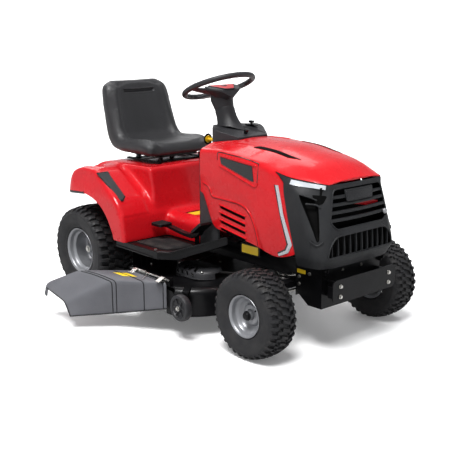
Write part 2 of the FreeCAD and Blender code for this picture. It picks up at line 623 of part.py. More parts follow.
def make_grille_bezel():
    """Grey nose moulding: upper and lower grille with their bars, lamp recesses and hinge lugs."""
    solid = nose_loft(0)
    shell = solid.cut(nose_loft(5).fuse(box(500, 700, -235, 235, 380, 760)))
    shell = shell.common(prism_xz(NOSE_SIDE, -300, 300))
    upper = prism_yz([(-178, 578), (-150, 552), (150, 552), (178, 578), (150, 706), (-150, 706)], 700, 900)
    lower = prism_yz([(-206, 436), (206, 436), (196, 478), (160, 516), (-160, 516), (-196, 478)], 700, 900)
    shell = shell.cut(upper).cut(lower)
    bars = [box(700, 900, -180, 180, z, z + 11) for z in (578, 608, 638, 668)]
    bars = [bar.common(solid).cut(nose_loft(16)).common(upper) for bar in bars]
    posts = [box(700, 900, y - 3, y + 3, 430, 520) for y in range(-180, 181, 36)]
    posts = [post.common(solid).cut(nose_loft(16)).common(lower) for post in posts]
    lug = fuse(box(812, 852, 186, 192, 392, 425), cyl(V(820, 186, 375), Y, 12, 6))
    lug = fuse(lug, box(808, 832, 186, 192, 375, 405))
    lug = lug.cut(cyl(V(820, 180, 375), Y, 6 + RUN, 20))
    lug = lug.cut(box(700, 900, 180, 200, 388, 700).cut(nose_loft(2)))
    return [fuse(shell, *bars, *posts, *both(lug))]


def make_headlight_lenses():
    """Slim lamps along the top edge of the nose, between the shoulder and the grille moulding."""
    bar = prism_xz([(660, 726), (660, 744), (800, 729), (800, 712)], 150, 260)
    skin = nose_loft(-3).cut(nose_loft(-0.1))
    return both(max(bar.common(skin).Solids, key=lambda s: s.Volume))


def make_side_trims():
    """Silver blades let on to the front edge of each side panel."""
    blade = prism_xz([(584, 712), (600, 714), (684, 470), (664, 432), (610, 408), (606, 418), (652, 442), (664, 470)], 200, 300)
    skin = hood_loft(-3).cut(hood_loft(-0.05))
    return both(max(blade.common(skin).Solids, key=lambda s: s.Volume))


# ---------------------------------------------------------------- steering
CAP_OUTLINE = [(-62, 2), (62, 2), (10, -62), (-10, -62)]


def make_steering_wheel():
    """Rim, three spokes, a V-shaped hub front and the skirt that covers the top of the column."""
    rim_ring = Part.makeTorus(STEER_R, GRIP_R)
    hub = cyl(V(0, 0, -50), Z, 48, 40)
    spokes = []
    for angle in (90, 270, 180):
        bar = fuse(box(40, STEER_R - 4, -19, 19, -17, -6), box(40, 112, -26, 26, -28, -10))
        spokes.append(turned(bar, V(0, 0, 0), Z, angle))
    front = prism_yz([(-104, -2), (104, -2), (104, -18), (16, -86), (-16, -86), (-104, -18)], 18, 64)
    recess = prism_yz(CAP_OUTLINE, 56, 70)
    skirt = Part.makeCone(45, 62, 68, V(0, 0, -114), Z).cut(Part.makeCone(42, 50, 70, V(0, 0, -115), Z))
    wheel = fuse(rim_ring, hub, skirt, *spokes, front.cut(box(18, 70, -200, 200, -90, 0).common(cyl(V(0, 0, -120), Z, 42, 70))))
    return [on_column(wheel.cut(recess).cut(cyl(V(0, 0, -130), Z, 9.5, 110)))]


def on_column(shape):
    """Moves a shape built about the Z axis on to the steering column, wheel plane at its origin."""
    copy = shape.copy()
    spot = FreeCAD.Placement(WHEEL_CENTRE, FreeCAD.Rotation(Y, -math.degrees(COLUMN_TILT)))
    copy.Placement = spot.multiply(copy.Placement)
    return copy


def make_steering_cap():
    """The coloured insert let into the hub front."""
    return [on_column(prism_yz(CAP_OUTLINE, 56, 67))]


def make_steering_shaft():
    shaft = cyl(WHEEL_CENTRE + COLUMN_DOWN * 24, COLUMN_DOWN, 9.5, COUPLING_T - 24)
    ball = Part.makeSphere(16, COUPLING)
    return [fuse(shaft, ball)]


def make_pinion_shaft():
    """The upright lower shaft: ball cup above, pinion teeth below."""
    at = COUPLING
    cup = cyl(V(at.x, 0, at.z - 24), Z, 24, 26).cut(Part.makeSphere(16.5, at))
    cup = cup.cut(Part.makeCone(16, 40, 40, at, -COLUMN_DOWN))
    stem = cyl(V(at.x, 0, 296), Z, 10, at.z - 24 - 296)
    toward = math.pi + SECTOR_BEARING
    teeth = gear_teeth(PINION_TEETH, 297, 311, toward + math.pi / PINION_TEETH, PINION_TEETH, 2.7, 3.6, -0.3)
    wheel = fuse(cyl(V(0, 0, 297), Z, GEAR_MODULE * PINION_TEETH / 2 - 3.6, 14), *teeth)
    wheel.translate(V(at.x, 0, 0))
    return [fuse(cup, stem, wheel)]


def drag_arm():
    """The steering arm shared by the sector and the right spindle: square to the drag link."""
    link = V(FRONT_X, -KINGPIN_Y, 0) - V(SECTOR_PIVOT.x, SECTOR_PIVOT.y, 0)
    link.normalize()
    return V(-link.y, link.x, 0) * DRAG_ARM_LENGTH


def bar_between(a, b, half, z0, z1):
    """A flat bar with round ends between two points, from z0 to z1."""
    along = V(b.x - a.x, b.y - a.y, 0)
    along.normalize()
    side = V(-along.y, along.x, 0) * half
    corners = [a + side, a - side, b - side, b + side]
    plate = prism_xy([(p.x, p.y) for p in corners], z0, z1)
    ends = [cyl(V(p.x, p.y, z0), Z, half, z1 - z0) for p in (a, b)]
    return fuse(plate, *ends)


def make_sector_gear():
    """A plate with a curved slot; the teeth are on the slot's outer edge, so the pinion runs inside it."""
    toward = math.pi + SECTOR_BEARING
    pitch_angle = 2 * math.pi / SECTOR_TEETH
    pitch = GEAR_MODULE * SECTOR_TEETH / 2
    z0, z1 = SECTOR_Z0, SECTOR_Z1
    plate = prism_xy(fan(pitch + 18, toward, math.radians(66)), z0, z1).common(cyl(V(0, 0, z0), Z, pitch + 17, z1 - z0))
    hub = cyl(V(0, 0, z0), Z, 22, z1 - z0)
    arm = drag_arm()
    bar = bar_between(V(0, 0, 0), arm, 13, z0, z1)
    slot = tube(V(0, 0, z0 - 5), Z, pitch - 1.8, GEAR_CENTRES - 23, z1 - z0 + 10)
    slot = slot.common(prism_xy(fan(pitch + 40, toward, math.radians(54)), z0 - 5, z1 + 5))
    spaces = gear_teeth(SECTOR_TEETH, z0 - 5, z1 + 5, toward - 7.5 * pitch_angle, 16, 3.6, 1.8, 0.3)
    stud = cyl(V(arm.x, arm.y, SECTOR_STUD_Z - 11), Z, 6, z0 + 2 - SECTOR_STUD_Z + 11)
    gear_plate = fuse(plate, hub).cut(fuse(slot, *spaces))
    gear_plate = fuse(gear_plate, bar.cut(slot), stud).cut(cyl(V(0, 0, z0 - 5), Z, 9 + RUN, 30))
    gear_plate.translate(V(SECTOR_PIVOT.x, SECTOR_PIVOT.y, 0))
    return [gear_plate]


def make_front_axle():
    """Pressed channel beam on a centre pivot, with a bored kingpin boss at each end."""
    beam = box(600, 646, -296, 296, 248, 294).cut(box(604, 642, -290, 290, 240, 290))
    sleeve = cyl(V(596, 0, AXLE_PIVOT_Z), X, 18, 56)
    boss = cyl(V(FRONT_X, KINGPIN_Y, BOSS_Z0), Z, 15, BOSS_Z1 - BOSS_Z0)
    web = box(604, 642, 250, 296, 250, 292)
    axle = fuse(beam, sleeve, *both(web))
    # room for the drag link, which crosses under the right arm of the beam
    axle = axle.cut(box(586, 660, -288, -165, 230, 268))
    axle = fuse(axle, *both(boss))
    axle = axle.cut(cyl(V(500, 0, AXLE_PIVOT_Z), X, 8 + RUN, 300))
    for side in (-1, 1):
        axle = axle.cut(cyl(V(FRONT_X, side * KINGPIN_Y, 200), Z, KINGPIN_R + RUN, 150))
    return [axle]


def make_spindle(side):
    at = V(FRONT_X, side * KINGPIN_Y, 0)
    kingpin = cyl(V(at.x, at.y, 200), Z, KINGPIN_R, 110)
    block = rounded(box(at.x - 17, at.x + 17, at.y - 17, at.y + 17, 176, BOSS_Z0 - FIT), 6, Z)
    stub = cyl(V(at.x, at.y, FRONT_TYRE_R), Y * side, KINGPIN_R, FRONT_TRACK / 2 + 43 - KINGPIN_Y)
    collar = cyl(V(at.x, at.y + side * 17, FRONT_TYRE_R), Y * side, 15, 23)
    tie_end = at + TIE_ARM
    arms = [bar_between(at, tie_end, 12, STEER_ARM_Z, STEER_ARM_Z + 8)]
    studs = [cyl(V(tie_end.x, tie_end.y, ROD_Z - 9), Z, 6, 12 + STEER_ARM_Z - ROD_Z)]
    if side < 0:
        drag_end = at + drag_arm()
        arms.append(bar_between(at, drag_end, 12, STEER_ARM_Z, STEER_ARM_Z + 8))
        studs.append(cyl(V(drag_end.x, drag_end.y, STEER_ARM_Z + 4), Z, 6, DRAG_Z + 8 - STEER_ARM_Z - 4))
    clip = tube(V(at.x, at.y, BOSS_Z1 + FIT), Z, 14, KINGPIN_R, 6)
    return [fuse(kingpin, block, stub, collar, *arms, *studs), clip]


def make_tie_rod():
    a = V(FRONT_X, -KINGPIN_Y, ROD_Z) + TIE_ARM
    b = V(a.x, -a.y, ROD_Z)
    rod = cyl(a + Y * 10, Y, 7, b.y - a.y - 20)
    eyes = [cyl(V(a.x, y, ROD_Z - 7), Z, 12, 14) for y in (a.y, b.y)]
    rod = fuse(rod, *eyes)
    for y in (a.y, b.y):
        rod = rod.cut(cyl(V(a.x, y, ROD_Z - 20), Z, 6 + RUN, 40))
    return [rod]


def make_drag_link():
    """Rod from the sector's stud to the right spindle; its rear eye has room for axle sway."""
    arm = drag_arm()
    rear = V(SECTOR_PIVOT.x, SECTOR_PIVOT.y, SECTOR_STUD_Z) + arm
    front = V(FRONT_X, -KINGPIN_Y, DRAG_Z) + arm
    along = front - rear
    length = along.Length
    along.normalize()
    rod = cyl(rear + along * 12, along, 6.5, length - 22)
    rear_eye = cyl(V(rear.x, rear.y, rear.z - 6), Z, 17, 12)
    front_eye = cyl(V(front.x, front.y, front.z - 7), Z, 12, 14)
    link = fuse(rod, rear_eye, front_eye)
    link = link.cut(cyl(V(rear.x, rear.y, rear.z - 30), Z, 12, 60))
    return [link.cut(cyl(V(front.x, front.y, front.z - 30), Z, 6 + RUN, 60))]


# ---------------------------------------------------------------- seat and controls
def make_seat_cushion():
    """One-piece bucket seat, with the hinge tabs under its front edge."""
    base = rounded(box(-680, -325, -226, 226, 716, 786), 40, Z)
    back = prism_xz([(-672, 718), (-600, 786), (-640, 850), (-700, 1040), (-728, 1080), (-762, 1084), (-786, 1050), (-722, 760)], -226, 226)
    trim = prism_yz([(-226, 716), (-226, 790), (-208, 840), (-200, 960), (-178, 1038), (-135, 1086), (135, 1086)]
                    + [(178, 1038), (200, 960), (208, 840), (226, 790), (226, 716)], -900, -300)
    seat = fuse(base, back).common(trim)
    pan = box(-640, -345, -170, 170, 708, 716)
    tab = fuse(box(-364, -336, 128, 133, 697, 710), cyl(V(SEAT_PIVOT.x, 128, SEAT_PIVOT.z), Y, 12, 5))
    tab = tab.cut(cyl(V(SEAT_PIVOT.x, 100, SEAT_PIVOT.z), Y, 5 + RUN, 60))
    return [seat, fuse(pan, *both(tab))]


def make_seat_base():
    """Slide rails, hinge ears with their pins, and the two rear spring posts."""
    rail = box(-600, -330, 140, 160, 681, 689)
    cross = [box(x, x + 30, -160, 160, 681, 686) for x in (-580, -400)]
    hinge = fuse(box(-364, -336, 136, 140, 681, 697), cyl(V(SEAT_PIVOT.x, 136, SEAT_PIVOT.z), Y, 10, 4))
    pin = cyl(V(SEAT_PIVOT.x, 126, SEAT_PIVOT.z), Y, 5, 14)
    post = fuse(cyl(V(-565, 110, 685), Z, 15, 4), cyl(V(-565, 110, 685), Z, 9, 21), cyl(V(-565, 110, 702), Z, 15, 4))
    return [fuse(*both(rail), *cross, *both(hinge), *both(pin), *both(post))]


def make_drive_pedal():
    """Forward and reverse pads on one rocking arm."""
    at = PEDAL_PIVOT
    hub = tube(V(at.x, -258, at.z), Y, 13, 6 + RUN, 30)
    side = [(-190, 402), (-125, 402), (-20, 386), (40, 384), (90, 402), (112, 430), (118, 440)]
    top = [(112, 448), (98, 442), (78, 415), (38, 404), (-20, 400), (-125, 415), (-190, 415)]
    arm = prism_xz(side + top, -258, -242)
    arm = arm.cut(cyl(V(at.x, -300, at.z), Y, 6 + RUN, 100))
    rear_pad = rounded(box(-205, -128, -312, -236, 413, 423), 10, Z)
    front_pad = rounded(box(-38, 42, -312, -232, 0, 10), 10, Z)
    front_pad = turned(front_pad, V(0, 0, 0), Y, -38)
    front_pad.translate(V(132, 0, 446))
    return [fuse(hub.cut(cyl(V(at.x, -300, at.z), Y, 6 + RUN, 100)), arm, rear_pad, front_pad)]


def make_brake_pedal():
    at = BRAKE_PIVOT
    hub = tube(V(at.x, 228, at.z), Y, 13, 6 + RUN, 46)
    arm = prism_xz([(30, 393), (46, 378), (150, 448), (184, 492), (172, 500), (140, 458)], 264, 274)
    arm = arm.cut(cyl(V(at.x, 200, at.z), Y, 6 + RUN, 100))
    pad = turned(rounded(box(-36, 36, 264, 336, 0, 10), 10, Z), V(0, 0, 0), Y, -52)
    pad.translate(V(176, 0, 492))
    return [fuse(hub, arm, pad)]


def make_lift_lever():
    """Deck-lift weldment: cross shaft, two arms with pins, the lever and its knob."""
    shaft = cyl(V(LIFT_X, -188, LIFT_Z), Y, 10, LEVER_Y + 8 + 188)
    parts = [shaft]
    tip = V(LIFT_X + LIFT_ARM * math.cos(LIFT_ARM_ANGLE), 0, LIFT_Z + LIFT_HALF_TRAVEL)
    for side in (-1, 1):
        y = side * 178
        arm = bar_between(V(0, 0, 0), V(LIFT_ARM, 0, 0), 13, 0, 10)
        arm.Placement = FreeCAD.Placement(V(LIFT_X, y + 5, LIFT_Z), FreeCAD.Rotation(X, 90))
        arm = turned(arm, V(LIFT_X, 0, LIFT_Z), Y, -math.degrees(LIFT_ARM_ANGLE))
        parts += [arm, cyl(V(tip.x, y - side * 5, tip.z), Y * side, 6, 23)]
    foot = V(LIFT_X, LEVER_Y, LIFT_Z)
    along = LEVER_KNOB - foot
    length = along.Length
    along.normalize()
    parts.append(cyl(foot, along, 6, length - 12))
    knob = fuse(cyl(foot + along * (length - 26), along, 15, 14), Part.makeSphere(19, LEVER_KNOB - along * 4))
    return [fuse(*parts).cut(knob), knob]


def make_throttle_lever():
    stem = box(74, 82, 89, 95, 868, 904)
    hub = cyl(V(78, 88, 868), Y, 7, 8)
    knob = rounded(box(65, 91, 83, 101, 904, 914), 5, Z)
    return [fuse(stem, hub, knob)]


def make_pto_knob():
    stem = cyl(V(14, PTO_Y, PTO_Z), X, 8, 66)
    cap = cyl(V(2, PTO_Y, PTO_Z), X, 17, 13)
    return [fuse(stem, cap)]


def make_ignition_key():
    barrel = cyl(V(56, KEY_Y, KEY_Z), X, 9.5, 22)
    bow = rounded(box(32, 56, KEY_Y - 11, KEY_Y + 11, KEY_Z - 2, KEY_Z + 2), 0.8, Y)
    return [fuse(barrel, cyl(V(53, KEY_Y, KEY_Z), X, 12, 5), bow)]


# ---------------------------------------------------------------- engine and transmission drive
def make_crank_pulley():
    """Crankshaft end with the traction pulley above the blade pulley."""
    shaft = cyl(V(CRANK_X, 0, 236), Z, 12.7, 200)
    at = V(CRANK_X, 0, 0)
    traction = pulley(at, DRIVE_PULLEY_R, DRIVE_BELT_Z, 18, 12.7)
    blades = pulley(at, PTO_PULLEY_R, DECK_BELT_Z, 18, 12.7)
    spacer = cyl(V(CRANK_X, 0, DECK_BELT_Z), Z, 19, DRIVE_BELT_Z - DECK_BELT_Z)
    return [fuse(shaft, traction, blades, spacer)]


def make_transaxle_pulley():
    at = V(TRANS_PULLEY_X, 0, 0)
    shaft = cyl(V(at.x, 0, 304), Z, 9, 50)
    hub = cyl(V(at.x, 0, 326 + FIT), Z, 16, 22)
    return [fuse(shaft, hub, pulley(at, TRANS_PULLEY_R, DRIVE_BELT_Z, 18, 9))]


# ---------------------------------------------------------------- mowing deck
def deck_outline(grow):
    right, left = SPINDLE_RIGHT, SPINDLE_LEFT
    circles = [(right.x, right.y, DECK_R), (left.x, left.y, DECK_R)]
    return Part.Face(hull_outline(circles, grow))


def make_deck_shell():
    """Pressed shell with raised spindle seats, a discharge side and the hangers for the lift arms."""
    outer = deck_outline(0).extrude(Z * (DECK_Z1 - DECK_Z0))
    outer.translate(V(0, 0, DECK_Z0))
    inner = deck_outline(-DECK_WALL).extrude(Z * (DECK_Z1 - DECK_Z0 - DECK_WALL))
    inner.translate(V(0, 0, DECK_Z0))
    beyond = box(-300, 400, -700, DISCHARGE_Y, 50, 300)
    shell = outer.cut(inner).cut(beyond)
    wall = box(150, 208, DISCHARGE_Y, DISCHARGE_Y + DECK_WALL, DECK_Z0, DECK_Z1)
    lintel = box(-91, 208, DISCHARGE_Y, DISCHARGE_Y + DECK_WALL, 208, DECK_Z1)
    parts = [shell, wall, lintel]
    for at in (SPINDLE_RIGHT, SPINDLE_LEFT):
        parts.append(cyl(V(at.x, at.y, DECK_Z1 - 1), Z, 90, 3))
    for x in (-92, 172):
        post = box(x - 3, x + 3, DISCHARGE_Y, DISCHARGE_Y + 22, DECK_Z1 - 1, CHUTE_HINGE.z)
        parts.append(fuse(post, box(x - 3, x + 3, DISCHARGE_Y - 14, DISCHARGE_Y + 22, CHUTE_HINGE.z - 9, CHUTE_HINGE.z + 9)))
    rod = cyl(V(-100, CHUTE_HINGE.y, CHUTE_HINGE.z), X, 4.5, 280)
    tip_x = LIFT_X + LIFT_ARM * math.cos(LIFT_ARM_ANGLE)
    tip_z = LIFT_Z + LIFT_HALF_TRAVEL
    for side in (-1, 1):
        y0, y1 = sorted((side * 188, side * 192))
        bracket = box(tip_x - 26, tip_x + 26, y0, y1, DECK_Z1 - 1, tip_z + 16)
        slot = box(tip_x - 14, tip_x + 14, y0 - 1, y1 + 1, tip_z - 7, tip_z + 7)
        parts.append(bracket.cut(slot))
    parts.append(gauge_bracket(GAUGE_RIGHT, SPINDLE_RIGHT))
    parts.append(gauge_bracket(GAUGE_LEFT, SPINDLE_LEFT))
    shell = fuse(*parts)
    for at in (SPINDLE_RIGHT, SPINDLE_LEFT):
        shell = shell.cut(cyl(V(at.x, at.y, DECK_Z1 - 20), Z, 36, 40))
    return [shell, rod.cut(shell)]


def gauge_bracket(wheel, spindle):
    """An arm from the deck's rim to a fork plate and the axle of an anti-scalp wheel."""
    side = 1 if wheel.y > 0 else -1
    inner_y = wheel.y - side * (GAUGE_W / 2 + 5)
    plate = box(wheel.x - 14, wheel.x + 14, min(inner_y, inner_y - side * 4), max(inner_y, inner_y - side * 4)
                , wheel.z - 14, DECK_Z1)
    toward = V(spindle.x - wheel.x, spindle.y - wheel.y, 0)
    toward.normalize()
    start = V(wheel.x, inner_y - side * 2, 0)
    end = start + toward * 66
    arm = bar_between(start, end, 14, DECK_Z1 - 8, DECK_Z1)
    arm = arm.cut(deck_outline(-1).extrude(Z * 400))
    low, high = sorted((inner_y - side * 4, wheel.y + side * (GAUGE_W / 2 + 4)))
    axle = cyl(V(wheel.x, low, wheel.z), Y, 6, high - low)
    return fuse(plate, arm, axle)


def make_gauge_wheel(at):
    profile = [(6 + RUN, -18), (16, -18), (16, -12), (46, -12), (48, -17), (56, -17), (GAUGE_R, -11)]
    profile += [(GAUGE_R, 11), (56, 17), (48, 17), (46, 12), (16, 12), (16, 18), (6 + RUN, 18)]
    return [revolve_y(profile, at)]


def make_discharge_chute():
    """Moulded deflector: sloping roof, folded front wall and two hinge knuckles."""
    t = 4.0
    y0 = CHUTE_HINGE.y - 2
    rear, front = V(-79, y0, 252), V(164, y0, 244)
    rear_mid, fold = V(-300, -672, 237), V(-60, -640, 230)
    rear_tip, front_tip = V(-448, -790, 158), V(-234, -798, 123)
    roofs = []
    for a, b, c, d in ((rear, front, rear_mid, fold), (rear_mid, fold, rear_tip, front_tip)):
        for corners in ((a, b, d), (a, d, c)):
            face = Part.Face(Part.makePolygon(list(corners) + [corners[0]]))
            roofs.append(face.extrude(V(0, 0, -t)))
    feet = [V(164, y0, 122), V(-60, -640, 74), V(-192, -796, 62)]
    tops = [front - Z * 1, fold - Z * 1, front_tip - Z * 1]
    walls = []
    for i in range(2):
        face = Part.makeRuledSurface(Part.makeLine(tops[i], tops[i + 1]), Part.makeLine(feet[i], feet[i + 1]))
        walls.append(face.extrude(V(-2.2, 3.4, 0)))
    lower = fuse(walls[0], walls[1]).common(box(-600, 400, -900, y0 + 4, 0, 400))
    lip = [rear, rear_mid, rear_tip]
    skirts = []
    for a, b in zip(lip, lip[1:]):
        face = Part.makeRuledSurface(Part.makeLine(a - Z, b - Z), Part.makeLine(a - Z * 26, b - Z * 26))
        skirts.append(face.extrude(V(2.4, -3.0, 0)))
    knuckles = []
    for x in (-70, 128):
        barrel = cyl(V(x, CHUTE_HINGE.y, CHUTE_HINGE.z), X, 9, 26)
        strap = box(x, x + 26, y0 - 34, y0 - 2, 238, 256)
        knuckles.append(fuse(barrel, strap))
    body = fuse(*roofs, lower, *skirts, *knuckles)
    body = body.cut(cyl(V(-200, CHUTE_HINGE.y, CHUTE_HINGE.z), X, 4.5 + RUN + 0.05, 500))
    return [max(body.Solids, key=lambda s: s.Volume)]


def make_spindle_housings():
    housings = []
    for at in (SPINDLE_RIGHT, SPINDLE_LEFT):
        body = cyl(V(at.x, at.y, 150), Z, 34, 77)
        flange = cyl(V(at.x, at.y, DECK_Z1 + 2), Z, 62, 5)
        bore = cyl(V(at.x, at.y, 100), Z, 10 + RUN, 200)
        housings.append(fuse(body, flange).cut(bore))
    return housings


def make_belt_covers():
    """Guards over the two blade pulleys, open on the side where the belt leaves."""
    covers = []
    for at, low, high in ((SPINDLE_RIGHT, 156, 345), (SPINDLE_LEFT, 24, 235)):
        cap = cyl(V(at.x, at.y, 262), Z, 86, 3)
        skirt = tube(V(at.x, at.y, DECK_Z1 + 2), Z, 86, 83, 40)
        arc = [math.radians(low + (high - low) * i / 10) for i in range(11)]
        fan = [(at.x, at.y)] + [(at.x + 140 * math.cos(a), at.y + 140 * math.sin(a)) for a in arc]
        covers.append(fuse(cap, skirt.common(prism_xy(fan, 200, 300))))
    # the right guard is longer towards the front of the deck
    at, reach = SPINDLE_RIGHT, 80

    def long_outline(r, z0, z1):
        ends = [cyl(V(at.x + dx, at.y, z0), Z, r, z1 - z0) for dx in (0, reach)]
        return fuse(*ends, box(at.x, at.x + reach, at.y - r, at.y + r, z0, z1))

    cap = long_outline(86, 262, 265)
    skirt = long_outline(86, DECK_Z1 + 2, 264).cut(long_outline(83, DECK_Z1 + 1, 266))
    skirt = skirt.common(box(at.x - 120, at.x + 220, at.y - 120, at.y - 12, 200, 300))
    covers[0] = fuse(cap, skirt)
    return covers


def make_deck_belt():
    circles = [(CRANK_X, 0, PTO_PULLEY_R), (SPINDLE_LEFT.x, SPINDLE_LEFT.y, DECK_PULLEY_R)]
    circles.append((SPINDLE_RIGHT.x, SPINDLE_RIGHT.y, DECK_PULLEY_R))
    return [belt(circles, DECK_BELT_Z, 10, 7)]


def make_deck_pulley(at):
    shaft = cyl(V(at.x, at.y, BLADE_Z - 6), Z, 10, DECK_BELT_Z + 9 - BLADE_Z + 6)
    shoulder = cyl(V(at.x, at.y, BLADE_Z + 5.2), Z, 17, 28)
    return [fuse(shaft, shoulder, pulley(at, DECK_PULLEY_R, DECK_BELT_Z, 18, 10))]


def make_blade(at, heading):
    """A flat bar with lift wings turned up at its trailing ends and a hexagonal centre nut."""
    bar = box(-BLADE_R, BLADE_R, -BLADE_W / 2, BLADE_W / 2, BLADE_Z, BLADE_Z + 5)
    wing = prism_yz([(BLADE_W / 2 - 8, BLADE_Z + 1), (BLADE_W / 2, BLADE_Z + 1), (BLADE_W / 2 + 4, BLADE_Z + 24)]
                    + [(BLADE_W / 2, BLADE_Z + 24)], BLADE_R - 95, BLADE_R - 14)
    blade = fuse(bar, wing, turned(wing, V(0, 0, 0), Z, 180))
    blade = blade.common(cyl(V(0, 0, 0), Z, BLADE_R, 400)).cut(cyl(V(0, 0, 0), Z, 10, 400))
    nut = hex_bolt(V(0, 0, BLADE_Z - 7), -Z, 16, 6)
    for piece in (blade, nut):
        piece.rotate(V(0, 0, 0), Z, heading)
        piece.translate(V(at.x, at.y, 0))
    return [blade, nut]


# ---------------------------------------------------------------- export
NODES = {
    "chassis_frame": make_chassis_frame,
    "front_cradle": make_front_cradle,
    "front_bumper": make_front_bumper,
    "footboards": make_footboards,
    "footboard_mats": make_footboard_mats,
    "rear_fender": make_rear_fender,
    "fender_inserts": make_fender_inserts,
    "dash_tower": make_dash_tower,
    "dash_console": make_dash_console,
    "column_cover": make_column_cover,
    "transaxle_case": make_transaxle_case,
    "engine_block": make_engine_block,
    "engine_shroud": make_engine_shroud,
    "muffler": make_muffler,
    "fuel_tank": make_fuel_tank,
    "drive_belt": make_drive_belt,
    "chassis_bolts": make_chassis_bolts,
    "hood_shell": make_hood_shell,
    "grille_bezel": make_grille_bezel,
    "headlight_lenses": make_headlight_lenses,
    "side_trims": make_side_trims,
    "steering_wheel": make_steering_wheel,
    "steering_cap": make_steering_cap,
    "steering_shaft": make_steering_shaft,
    "pinion_shaft": make_pinion_shaft,
    "sector_gear": make_sector_gear,
    "front_axle": make_front_axle,
    "spindle_right": lambda: make_spindle(-1),
    "spindle_left": lambda: make_spindle(1),
    "tie_rod": make_tie_rod,
    "drag_link": make_drag_link,
    "front_rim_right": lambda: make_front_rim(-1),
    "front_rim_left": lambda: make_front_rim(1),
    "front_tyre_right": lambda: make_front_tyre(-1),
    "front_tyre_left": lambda: make_front_tyre(1),
    "rear_rim_right": lambda: make_rear_rim(-1),
    "rear_rim_left": lambda: make_rear_rim(1),
    "rear_tyre_right": lambda: make_rear_tyre(-1),
    "rear_tyre_left": lambda: make_rear_tyre(1),
    "seat_cushion": make_seat_cushion,
    "seat_base": make_seat_base,
    "drive_pedal": make_drive_pedal,
    "brake_pedal": make_brake_pedal,
    "lift_lever": make_lift_lever,
    "throttle_lever": make_throttle_lever,
    "pto_knob": make_pto_knob,
    "ignition_key": make_ignition_key,
    "crank_pulley": make_crank_pulley,
    "transaxle_pulley": make_transaxle_pulley,
    "deck_shell": make_deck_shell,
    "discharge_chute": make_discharge_chute,
    "spindle_housings": make_spindle_housings,
    "belt_covers": make_belt_covers,
    "deck_belt": make_deck_belt,
    "deck_pulley_right": lambda: make_deck_pulley(SPINDLE_RIGHT),
    "deck_pulley_left": lambda: make_deck_pulley(SPINDLE_LEFT),
    "blade_right": lambda: make_blade(SPINDLE_RIGHT, 35),
    "blade_left": lambda: make_blade(SPINDLE_LEFT, 60),
    "gauge_wheel_right": lambda: make_gauge_wheel(GAUGE_RIGHT),
    "gauge_wheel_left": lambda: make_gauge_wheel(GAUGE_LEFT),
}


def main():
    os.makedirs("parts", exist_ok=True)
    for name, make in NODES.items():
        solids = []
        for shape in make():
            solids += shape.Solids
        bad = [s for s in solids if not s.isValid() or s.Volume <= 0]
        if bad or not solids:
            print("CHECK", name, len(solids), "solids,", len(bad), "bad")
        Part.makeCompound(solids).exportStep(os.path.join("parts", name + ".step"))


if __name__ == "__main__":
    main()
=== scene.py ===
import math

import bmesh
import bpy
from mathutils import Matrix, Vector


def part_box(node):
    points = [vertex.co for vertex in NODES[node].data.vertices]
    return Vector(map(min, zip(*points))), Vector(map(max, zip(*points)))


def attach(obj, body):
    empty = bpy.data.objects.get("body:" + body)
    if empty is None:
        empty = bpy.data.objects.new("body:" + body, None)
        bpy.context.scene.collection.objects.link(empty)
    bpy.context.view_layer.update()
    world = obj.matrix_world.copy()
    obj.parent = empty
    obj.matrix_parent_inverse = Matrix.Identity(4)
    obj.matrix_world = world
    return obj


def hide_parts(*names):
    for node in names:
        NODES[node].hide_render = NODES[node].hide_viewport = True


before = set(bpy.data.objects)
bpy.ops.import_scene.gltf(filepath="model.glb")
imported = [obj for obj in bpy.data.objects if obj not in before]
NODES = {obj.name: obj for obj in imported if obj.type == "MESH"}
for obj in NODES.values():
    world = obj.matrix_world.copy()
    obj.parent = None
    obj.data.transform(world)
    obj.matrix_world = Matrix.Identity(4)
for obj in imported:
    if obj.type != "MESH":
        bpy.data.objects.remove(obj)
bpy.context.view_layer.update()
MM = 0.001
UP = (0, 0, 1)
SIDES = ((-1, "right"), (1, "left"))
FLOOR_HALF = 40
HARD_EDGE = 40  # degrees
CLOTH_FRAMES = 20
scene = bpy.context.scene


# ------------------------------------------------------------------ materials
def node(tree, kind, **values):
    """A new shader node, with its own attributes or its input values set by name."""
    n = tree.nodes.new(kind)
    for key, value in values.items():
        if hasattr(n, key):
            setattr(n, key, value)
        else:
            n.inputs[key.replace("_", " ")].default_value = value
    return n


def ramp(tree, source, stops):
    """The colour of source between stops of (position, colour)."""
    n = tree.nodes.new("ShaderNodeValToRGB")
    while len(n.color_ramp.elements) < len(stops):
        n.color_ramp.elements.new(0.5)
    for e, (at, colour) in zip(n.color_ramp.elements, stops):
        e.position = at
        e.color = (*colour, 1)
    tree.links.new(source, n.inputs[0])
    return n.outputs[0]


def mapped(tree, source, low, high, to_low, to_high):
    n = tree.nodes.new("ShaderNodeMapRange")
    for i, v in enumerate((low, high, to_low, to_high)):
        n.inputs[i + 1].default_value = v
    tree.links.new(source, n.inputs[0])
    return n.outputs[0]


def mix(tree, factor, a, b):
    """A blend of two colours. Each input is a socket, a colour or a number."""
    n = tree.nodes.new("ShaderNodeMix")
    n.data_type = "RGBA"
    for source, socket in ((factor, n.inputs[0]), (a, n.inputs[6]), (b, n.inputs[7])):
        if isinstance(source, tuple):
            socket.default_value = (*source, 1)
        elif isinstance(source, (int, float)):
            socket.default_value = source
        else:
            tree.links.new(source, socket)
    return n.outputs[2]


DUST = (0.30, 0.27, 0.23)
ROUGH_DRIFT = 0.06


